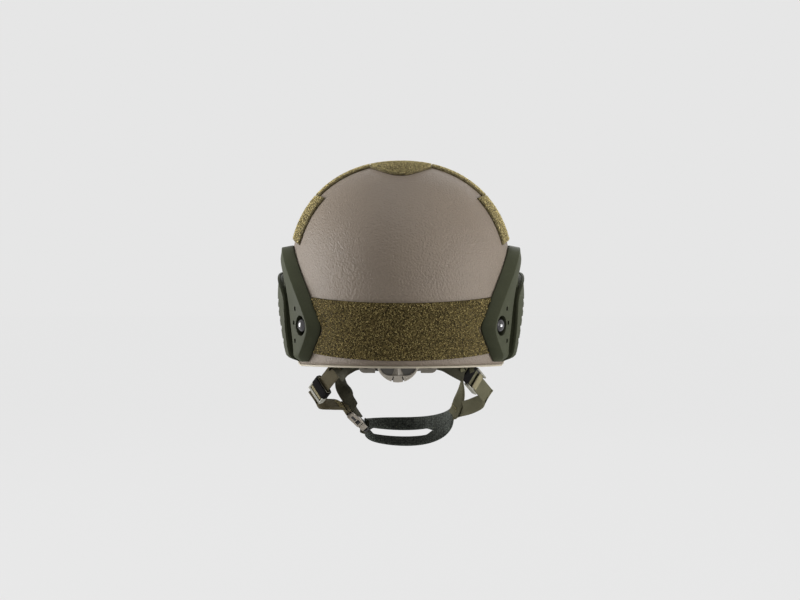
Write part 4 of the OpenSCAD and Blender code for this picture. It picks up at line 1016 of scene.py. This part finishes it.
def woven(name, dark, light, rib, column, depth):
    """Webbing: herringbone ribs of a pitch in mm, from a UV map counted in millimetres, with painted shade
    in its crevices.
    """
    finish, tree, surface = blank_finish(name)
    weave = linked(tree, "ShaderNodeUVMap", {"uv_map": "weave"})
    parts = linked(tree, "ShaderNodeSeparateXYZ", Vector=weave.outputs["UV"])
    zigzag = sum_of(tree, "PINGPONG", parts.outputs["X"], column)
    along = sum_of(tree, "DIVIDE", sum_of(tree, "ADD", parts.outputs["Y"], zigzag), rib / (2 * math.pi))
    ribs = sum_of(tree, "ADD", sum_of(tree, "MULTIPLY", sum_of(tree, "SINE", along, 0), 0.5), 0.5)
    place = on_piece(tree)
    fuzz, broad = mottle(tree, place, 0.8, 2.0), mottle(tree, place, 16, 3.0)
    tone = weighed(tree, (ribs, 0.4), (fuzz, 0.3), (broad, 0.4))
    # Painted shade in crevices narrower than 14 mm, down to a quarter of the tone.
    colour = painted_crevice_shade(tree, tinted(tree, dark, light, tone), 14, 0.25)
    tree.links.new(colour, surface.inputs["Base Color"])
    surface.inputs["Roughness"].default_value = 0.8
    surface.inputs["Specular IOR Level"].default_value = 0.2
    dented(tree, surface, ribs, depth, 0.8)
    return finish


def curve_at(rows, s):
    """Place and width direction on a smooth curve through a strap's rows, at row s."""
    i = min(int(s), len(rows) - 2)
    t = s - i
    a, b, c, d = (rows[min(len(rows) - 1, max(0, k))] for k in range(i - 1, i + 3))
    mixed = []
    for p, q, r, w in zip(a, b, c, d):
        mixed.append(0.5 * (p * t * (-1 + t * (2 - t)) + q * (2 + t * t * (-5 + 3 * t))
                            + r * t * (1 + t * (4 - 3 * t)) + w * t * t * (t - 1)))
    return [mixed[0], mixed[1]]


def square_to(v, way):
    """A direction made square to a way."""
    return (v - way * v.dot(way)).normalized()


def strap_at(rows, s):
    """Place, way, width direction and face of a strap at a row; a row is place and width."""
    place, w = curve_at(rows, s)
    ahead = curve_at(rows, min(s + 0.02, len(rows) - 1))[0]
    behind = curve_at(rows, max(s - 0.02, 0))[0]
    way = (ahead - behind).normalized()
    w = square_to(w, way)
    return place, way, w, way.cross(w)


def web_band(name, rows, finish, body="helmet", width=WEB_W, thick=WEB_T, steps=8, nodes=(), closed=False):
    """Webbing laid along rows of place and width direction, with a weave map in millimetres."""
    places, weave = [], []
    count = (len(rows) - 1) * steps
    run, last = 0.0, None
    for i in range(count + (0 if closed else 1)):
        p, way, w, n = strap_at(rows, i / steps)
        run += (p - last).length if last else 0
        last = p
        for x, z in WEB_SECTION:
            places.append(p + w * (x * width / 2) + n * (z * thick / 2))
            weave.append((x * width / 2 + width, run))
    rings = len(places) // len(WEB_SECTION)
    band = new_piece(name, places, ring_faces(rings, len(WEB_SECTION), closed), finish, body=body,
                     replaces=nodes)
    uv = band.data.uv_layers.new(name="weave")
    for loop in band.data.loops:
        uv.data[loop.index].uv = weave[loop.vertex_index]
    return band


def bar_loop(name, place, out, wide, finish, bar_w, bar_t, tail, body="helmet"):
    """A strap's end folded round a bar: out is the way to the strap, wide the bar's way."""
    up = out.cross(wide)
    half_x, half_z = (size / 2 + BAR_GAP + WEB_T / 2 for size in (bar_w, bar_t))
    turns = map(math.radians, range(110, 251, 35))
    round_bar = [(math.cos(a) * half_x, math.sin(a) * half_z) for a in turns]
    fold = [(half_x + tail, 0.7), (half_x * 0.8, half_z), *round_bar, (half_x * 0.8, -half_z),
            (half_x + tail, -0.7)]
    rows = [[place + out * x + up * z, wide] for x, z in fold]
    return web_band(name, rows, finish, body=body, width=WEB_W - 0.5, steps=5)


def row(p, w):
    """One row of a strap: its place and the way of its width."""
    return [Vector(p), Vector(w)]


def spaced(a, b, w, shares):
    """Rows of a strap between two places, at shares of the way."""
    return [[a.lerp(b, t), Vector(w)] for t in shares]


# The anchors' bars, from the bolts' places on the shell.
FRONT_BOLT = (132.0, -4.0)
ANCHOR_LEN = 21.0
ANCHOR_BAR_W = 3.0
ARM_GAP = 2.6
ARM_DEPTH = WALL + ARM_GAP + WEB_T
TAB_T = 1.8
LOOP_TAIL = 6.0


def anchor_frame(side, bolt):
    """Bolt's place on the shell, the surface's normal, the way down and the way across."""
    p = shell_point(side * bolt[0], bolt[1])
    n = surface_normal(p)
    across = Vector((0, 0, 1)).cross(n).normalized()
    down = across.cross(n)
    return p, n, -down if down.z > 0 else down, across


def anchor_end(side, bolt, more):
    """Where a strap leaves the folded loop at its anchor, or some millimetres more."""
    p, n, down, across = anchor_frame(side, bolt)
    return p + down * (ANCHOR_LEN + BAR_GAP + LOOP_TAIL + more) - n * (ARM_DEPTH + TAB_T / 2)


# The same webbing in three tones: the left straps' darker copy is painted shade, the right straps' lighter
# copy painted light, and the darkest, for the left front strap, the nape straps and the cup's end, painted
# shade.
left_shaded_web = woven("left_shaded_web", (0.026, 0.021, 0.010), (0.110, 0.092, 0.048), 1.1, 2.0, 0.25)
right_lit_web = woven("right_lit_web", (0.045, 0.043, 0.022), (0.155, 0.145, 0.085), 1.1, 2.0, 0.25)
deep_shade_web = woven("deep_shade_web", (0.014, 0.013, 0.007), (0.062, 0.058, 0.036), 1.1, 2.0, 0.25)
# Places on the harness: each rear strap passes the rim, folds at its lowest corner and meets the
# front strap, then goes to the buckle on the left and to the chin cup on the right.
left_rim_pass = Vector((-63.5, -82, -91))
left_fold = Vector((-88, -45, -124))
left_junction = Vector((-63.5, -6, -135.5))
right_rim_pass = Vector((63, -84, -91))
right_fold = Vector((88, -40, -123))
right_junction = Vector((60, 5, -142))
left_buckle = Vector((-57, 5, -141))
buckle_end = Vector((-42.5, 28, -158.5))
cup_left = Vector((-37.5, 36, -162.5))
cup_right = Vector((51, 14, -146))
buckle_axis = (buckle_end - left_buckle).normalized()
buckle_normal = square_to(Vector((-0.78, 0, -0.63)), buckle_axis)
buckle_across = buckle_normal.cross(buckle_axis)
STRAIGHT = (0, 0.06, 0.3, 0.6, 0.94, 1)
across_left = anchor_frame(-1, REAR_BOLT)[3]
across_right = anchor_frame(1, REAR_BOLT)[3]
left_rows = [row(anchor_end(-1, REAR_BOLT, more), across_left) for more in (-2.5, 2)]
left_rows += spaced(left_rim_pass, left_fold, (0.556, -0.378, -0.741), STRAIGHT)
left_rows += [row(left_fold + Vector((4, 13, -5)), (0.35, -0.2, -0.9)),
              row(left_fold.lerp(left_junction, 0.6) + Vector((0, 0, -2)),
                  Vector((0.15, 0, -1)).lerp(buckle_across, 0.9)),
              row(left_junction, buckle_across), row(left_buckle - buckle_axis * 2.6, buckle_across)]
right_rows = [row(anchor_end(1, REAR_BOLT, more), -across_right) for more in (-3.5, 2)]
right_rows += spaced(right_rim_pass, right_fold, (-0.556, -0.378, -0.741), STRAIGHT)
right_rows += [row(right_fold + Vector((-3, 13, -5)), (-0.35, -0.2, -0.9)),
               row(right_fold.lerp(right_junction, 0.6) + Vector((0, 0, -2)), (-0.15, 0, -1)),
               row(right_junction, (-0.1, -0.2, -0.95)),
               row(cup_right + Vector((3.2, -2.3, 0)), (-0.25, -0.15, -1))]
web_band("left_rear_web", left_rows, left_shaded_web, nodes=["left_rear_strap"])
web_band("right_rear_web", right_rows, right_lit_web, nodes=["right_rear_strap"])
# The right front strap comes down to the rear strap and is sewn flat on its inner side.
JUNCTION_ROW = 10.3
SEWN_GAP = 0.8
SEWN_UP = 8.0
SEWN_DOWN = 5.5
top = anchor_end(1, FRONT_BOLT, -2.5)
joint, way, w, n = strap_at(right_rows, JUNCTION_ROW)
inward = n if n.x < 0 else -n
down = (w * 0.8 + way * 0.9).normalized()
face = down.cross(inward)
face = face if face.y > 0 else -face
sewn_top, sewn_end = (joint + down * k + inward * (WEB_T + SEWN_GAP) for k in (-SEWN_UP, SEWN_DOWN))
right_front = [row(top, anchor_frame(1, FRONT_BOLT)[3]), row(top.lerp(sewn_top, 0.25), (0.2, 1, 0)),
               row(top.lerp(sewn_top, 0.5) + Vector((2, 0, 0)), (0.3, 1, 0)),
               row(top.lerp(sewn_top, 0.8) + Vector((1.5, 0, 0)), Vector((0.45, 1, 0)).lerp(face, 0.5)),
               row(sewn_top, face), row(sewn_end, face)]

# The left front strap is sewn to folded layers on the rear strap, and runs on behind the
# buckle as a flap that keeps it off the cheek.
FLAP_LEVEL = 7.0
top = anchor_end(-1, FRONT_BOLT, -2.5)
bend = Vector((-62.7, 24, -115))
left_front = [row(top, -anchor_frame(-1, FRONT_BOLT)[3]), row(top.lerp(bend, 0.35), (-0.2, 1, 0)),
              row(top.lerp(bend, 0.7), (0.1, 1, 0.1)), row(bend, (0.4, 0.8, 0.3)),
              row((-57.5, 13, -126), (0.6, 0.55, 0.5)), row((-53.2, 12, -134), (0.35, 0.7, 0.55))]
left_front += [row(left_buckle + buckle_axis * x - buckle_normal * FLAP_LEVEL, turn)
               for x, turn in ((9, (0.0, 0.7, 0.55)), (17, -buckle_across))]
for side, name, rows, finish in ((-1, "left", left_front, deep_shade_web), (1, "right", right_front, right_lit_web)):
    web_band(name + "_front_web", rows, finish, nodes=[name + "_front_strap"], steps=12)
    for bolt, where in ((REAR_BOLT, "rear"), (FRONT_BOLT, "front")):
        p, n, down, across = anchor_frame(side, bolt)
        bar = p + down * (ANCHOR_LEN - ANCHOR_BAR_W / 2) - n * (ARM_DEPTH + TAB_T / 2)
        bar_loop(name + "_" + where + "_end", bar, down, across, finish, ANCHOR_BAR_W, TAB_T, LOOP_TAIL)

# Sewn boxes where the straps meet: thread stitches along a crossed square, on both sides.
STITCH_LEN = 1.9
STITCH_PITCH = 2.6
THREAD_WIDE = 0.32
STITCH_UP = 0.1
BOX_HALF = 4.2
stitch_rings = []
# Rings of one stitch: its share along, its height over the strap and its share of the thread's width.
for share, lift, wide in ((-0.5, -0.3, 0.5), (-0.35, 0.15, 1.0), (0, 0.3, 1.1), (0.35, 0.15, 1.0),
                          (0.5, -0.3, 0.5)):
    stitch_rings.append([Vector((lift + THREAD_WIDE * wide * math.cos(a), THREAD_WIDE * wide * math.sin(a),
                                 share * STITCH_LEN)) for a in (0, 1.57, 3.14, 4.71)])
stitch_tree, stitch_in, stitch_out = node_group("stitches", [("Pitch", "Float"), ("Stitch", "Object"),
                                                             ("Finish", "Material")])
given = stitch_in.outputs
seam = linked(stitch_tree, "GeometryNodeMeshToCurve", Mesh=given["Geometry"])
marks = linked(stitch_tree, "GeometryNodeCurveToPoints", {"mode": "LENGTH"}, Curve=seam.outputs["Curve"],
               Length=given["Pitch"])
set_out(stitch_tree, given, stitch_out, "Stitch", marks.outputs["Points"], marks.outputs["Rotation"],
        (1.0, 1.0, 1.0))
thread = moulded("thread", (0.200, 0.160, 0.060), (0.420, 0.350, 0.160), 0.7, 0.6, 0.05)
stitch_seed = seed_mesh("stitch", stitch_rings)


def sewn(name, seams):
    """Rows of stitches along seams, each a list of points in mm."""
    base = bpy.data.meshes.new(name)
    points = [tuple(p / 1000) for seam in seams for p in seam]
    edges, first = [], 0
    for line in seams:
        edges += [(first + k, first + k + 1) for k in range(len(line) - 1)]
        first += len(line)
    base.from_pydata(points, edges, [])
    values = {"Pitch": STITCH_PITCH / 1000, "Stitch": stitch_seed, "Finish": thread}
    repeat_over(placed(name, base), stitch_tree, values, name)


def crossed_square(middle, along, across, lift):
    """Seams of a square with its two diagonals."""
    a, b = along * BOX_HALF, across * BOX_HALF
    corners = [middle + lift + x * a + y * b for x, y in ((-1, -1), (1, -1), (1, 1), (-1, 1))]
    return [corners + corners[:1], corners[::2], corners[1::2]]


left_joint, left_way, left_w, left_n = strap_at(left_rows, len(left_rows) - 2)
left_in = left_n if left_n.x > 0 else -left_n
one_face = WEB_T / 2 + STITCH_UP
far_face = WEB_T * 1.5 + SEWN_GAP + STITCH_UP
sewn("right_stitches", crossed_square(joint, way, w, -inward * one_face)
     + crossed_square(joint, down, face, inward * far_face))
sewn("left_stitches", crossed_square(left_joint, left_way, left_w, -left_in * one_face)
     + crossed_square(left_joint, left_way, left_w, left_in * one_face))
bpy.data.objects.remove(stitch_seed)

# Nape straps: from each wing's roller down and forward to the rear strap, where they are sewn
# on. Their first part follows the wing.
ROLLER_X = 35.0
ROLLER_R = 2.6
WING_FRONT = 100.1
NAPE_STRAP_Z = -83.0
for side, name, rim_pass in ((-1, "left", left_rim_pass), (1, "right", right_rim_pass)):
    start = Vector((DIAL_X + side * (ROLLER_X + ROLLER_R + 1.0), -WING_FRONT + ROLLER_R, NAPE_STRAP_Z))
    end = rim_pass + Vector((-side * 1.8, -3.5, -6))
    nape_rows = [row(start, (0, 0, side)), row(start.lerp(end, 0.3) + Vector((0, -1.2, 2)), (0, 0, side)),
                 row(start.lerp(end, 0.65) + Vector((0, -1, 1)), (-0.35, 0, 0.9 * side)),
                 row(end, (-0.5 * side, 0, 0.8 * side))]
    nape = web_band(name + "_nape_web", nape_rows, deep_shade_web, body=None, width=WEB_W - 1,
                    nodes=[name + "_nape_strap"])
    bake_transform(nape)

# Sliders
# Ladder frames of moulded plastic on the rear straps: two bars lie over the strap, one under. A
# black band round each strap beside its slider is painted shade, where the strap lies in shadow.
# Black for the bands of painted shade on the straps beside the sliders.
shade_band_black = moulded("shade_band_black", (0.003, 0.003, 0.003), (0.008, 0.007, 0.007), 0.85, 1.0, 0.05,
                      gloss=0.05)
# The straps' own webbing in a much paler tone: painted light on the tails lying over the sliders.
pale_lit_tail = woven("pale_lit_tail", (0.120, 0.105, 0.055), (0.330, 0.295, 0.180), 1.1, 2.0, 0.3)
# Painted shade darkens the sliders' plastic in their slots and between their bars.
slider_plastic = moulded("slider_plastic", (0.150, 0.145, 0.112), (0.260, 0.250, 0.200), 0.5, 1.6, 0.05,
                         shade_reach=5, least=0.2)
# Each slider: its share of the way from the rim to the fold, where its tail begins, how far
# behind it its band of painted shade lies, and the band's width and half sizes.
SLIDER_ROWS = {"left": (0.72, 1.5, 5.2, 10.6, 10.6, 3.1), "right": (0.42, -4.0, 17.0, 13.0, 8.8, 1.7)}
TAIL_UP = 1.1
TAIL_T = 1.2
BAND_T = 1.2
BAND_SIDES = 24


def band_round(name, place, way, across, half_w, half_t, wide, finish, body, nodes=()):
    """An elastic band round a strap, its width along the strap's way."""
    normal = way.cross(across)
    ring = []
    for i in range(BAND_SIDES + 1):
        a = 2 * math.pi * i / BAND_SIDES
        y = math.copysign(abs(math.cos(a)) ** 0.35, math.cos(a)) * half_w
        z = math.copysign(abs(math.sin(a)) ** 0.5, math.sin(a)) * half_t
        ring.append([place + across * y + normal * z, way])
    return web_band(name, ring, finish, body=body, width=wide, thick=BAND_T, steps=2, nodes=nodes,
                    closed=True)


for name, side, rim_pass, fold in (("left", 1, left_rim_pass, left_fold),
                                   ("right", -1, right_rim_pass, right_fold)):
    share, tail_from, back, wide, half_w, half_t = SLIDER_ROWS[name]
    hard_part(name + "_slider", slider_plastic, 0.35, body=name + "_slider")
    way = (fold - rim_pass).normalized()
    across = square_to(Vector((side * 0.556, -0.378, -0.741)), way)
    place = rim_pass.lerp(fold, share)
    # The black band: painted shade on the strap.
    band_round(name + "_slider_band", place - way * back, way, across, half_w, half_t, wide, shade_band_black,
               name + "_slider")
    out = way.cross(across)
    out = out if out.y < 0 else -out
    tail = [row(place + way * x + out * (WEB_T + TAIL_UP), across) for x in (tail_from, 2.0, 4.5)]
    web_band(name + "_tail", tail, pale_lit_tail, body=name + "_slider", thick=TAIL_T, steps=3)

# Buckle
# A side-release buckle moulded in two halves: the socket on the left strap, the plug on the chin
# cup's end. The plug's two prongs spring into windows in the socket's sides.
# Painted shade darkens the buckle's plastic in its slots and windows.
buckle_plastic = moulded("buckle_plastic", (0.160, 0.138, 0.108), (0.280, 0.245, 0.198), 0.45, 1.4, 0.05,
                         shade_reach=3, least=0.45)
SOCKET_LEN = 24.0
FOOT_FROM = SOCKET_LEN + 0.4
FOOT_LEN = 9.0
SOCKET_BAR_W = 2.4
PLUG_BAR_W = 2.2
BAR_T = 3.0
hard_part("buckle_socket", buckle_plastic, 0.4)
hard_part("buckle_plug", buckle_plastic, 0.4, body="plug")
hard_part("rear_prong", roller_rubber, 0.25, body="rear_prong")
hard_part("front_prong", roller_rubber, 0.25, body="front_prong")
bar_loop("socket_end", left_buckle + buckle_axis * SOCKET_BAR_W / 2, -buckle_axis, buckle_across, left_shaded_web,
         SOCKET_BAR_W, BAR_T, 4)


def buckle_point(x, y, z):
    """A place on the buckle: along it from the socket's bar, across it and out from its face."""
    return left_buckle + buckle_axis * x + buckle_across * y + buckle_normal * z


# A black strip along each narrow side of the socket, up to the prong's window: painted shade in its side
# groove.
SOCKET_HALF = WEB_W / 2 + 3
GROOVE_FROM = 2.2
GROOVE_TO = 11.6
GROOVE_HALF = 1.2
for side, name in ((-1, "rear"), (1, "front")):
    side_shade_strip = [buckle_point(x, side * (SOCKET_HALF + y), z) for y in (-0.4, 0.12)
              for x, z in ((GROOVE_FROM, 0), (GROOVE_FROM + 1, GROOVE_HALF), (GROOVE_TO, GROOVE_HALF),
                           (GROOVE_TO, -GROOVE_HALF), (GROOVE_FROM + 1, -GROOVE_HALF))]
    new_piece(name + "_groove", side_shade_strip, ring_faces(2, 5, False), roller_rubber,
              smooth=False)
KEEPER_W = 3.2
KEEPER_HALF_T = 2.5
KEEPER_GAP = 2.6
KEEPER_X = FOOT_FROM + FOOT_LEN + KEEPER_GAP + KEEPER_W / 2
band_round("elastic_keeper", buckle_point(KEEPER_X, 0, 0), buckle_axis, buckle_across, WEB_W / 2 + BAND_T,
           KEEPER_HALF_T, KEEPER_W, roller_rubber, "plug", ["strap_keeper"])

# Chin cup
# Two bands of padded mesh that part over the chin and meet at their ends, with bound edges.
# The left end goes through an elastic keeper and round the plug's bar.
CUP_T = 2.6
CUP_HALF = 8.5
CUP_COLUMNS = 96
CUP_SEWN_LEFT = 0.13
CUP_SEWN_RIGHT = 0.3
CUP_PARTING = 0.07
CUP_TILT = 3.0
cup_end = cup_right + Vector((3, 0, 0.5))
# The four edges from the top down: how high each lies at the sewn ends, how far forward and down
# it reaches under the chin, and which way it lies there from the middle of its band.
CUP_LINES = [(8, 52, 12.5, (0, 0.57, 0.82)), (2.7, 52, 11.5, (0, -0.57, -0.82)),
             (-2.7, 27, 28, (0, 0.85, 0.5)), (-8, 27, 27, (0, -0.85, -0.5))]


def cup_line(u, rise, forward, drop, lean):
    """Point of an edge at a share of the way from the left end to the right one."""
    a = math.pi * u
    s = max(0.0, math.sin(a)) ** 0.8
    base = cup_left.lerp(cup_end, (1 - math.cos(a)) / 2)
    sagged = base + Vector((0, forward * s, CUP_TILT * math.sin(2 * a) - drop * s))
    return sagged + (Vector((0, -0.1, 1)) * rise).lerp(Vector(lean) * CUP_HALF, s)


def cup_edges(u):
    """Four edge lines; near the ends the two inner ones run together."""
    top, upper, lower, bottom = (cup_line(u, *line) for line in CUP_LINES)
    together = 1 - min(ease((u - CUP_SEWN_LEFT) / CUP_PARTING), ease((1 - u - CUP_SEWN_RIGHT) / CUP_PARTING))
    middle = (upper + lower) / 2
    return top, upper.lerp(middle, together), lower.lerp(middle, together), bottom


cup_mesh = knitted("cup_mesh", (0.008, 0.009, 0.007), (0.115, 0.128, 0.108), 2.4, 0.5)
BAND_SIDE = [(0.0, 0.0), (0.02, 0.55), (0.07, 0.85), (0.2, 1.0), (0.5, 1.0), (0.8, 1.0), (0.93, 0.85),
             (0.98, 0.55)]
BAND_SECTION = BAND_SIDE + [(1 - x, -z) for x, z in BAND_SIDE]
for name, first in (("cup_upper_band", 0), ("cup_lower_band", 2)):
    lines = [cup_edges(i / CUP_COLUMNS)[first:first + 2] for i in range(CUP_COLUMNS + 1)]
    points = []
    for i, (a, b) in enumerate(lines):
        before, after = lines[max(0, i - 1)], lines[min(CUP_COLUMNS, i + 1)]
        way = ((after[0] + after[1]) - (before[0] + before[1])).normalized()
        face = way.cross(b - a).normalized()
        for x, z in BAND_SECTION:
            points.append(a.lerp(b, x) + face * (z * CUP_T / 2))
    band = new_piece(name, points, ring_faces(len(lines), len(BAND_SECTION), False), cup_mesh, body=None,
                     replaces=["chin_cup"])
    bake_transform(band)
# Webbing from the plug's bar into the cup's left end.
cup_start = FOOT_FROM + FOOT_LEN + BAR_GAP + WEB_T + 1.4
CUP_WEB_SHARE = 0.012
top, upper, lower, bottom = cup_edges(CUP_WEB_SHARE)
end_rows = [row(buckle_point(x, 0, 0), buckle_across) for x in (cup_start - 2.5, cup_start, cup_start + 4.5)]
web_band("cup_end_web", end_rows + [row(top.lerp(bottom, 0.5), top - bottom)], deep_shade_web, body="plug")
bar_loop("plug_end", buckle_point(FOOT_FROM + FOOT_LEN - PLUG_BAR_W / 2, 0, 0), buckle_axis, buckle_across,
         deep_shade_web, PLUG_BAR_W, BAR_T, 3.4, body="plug")

[[list(map(float, corner)) for corner in box] for box in (cad_box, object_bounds())]
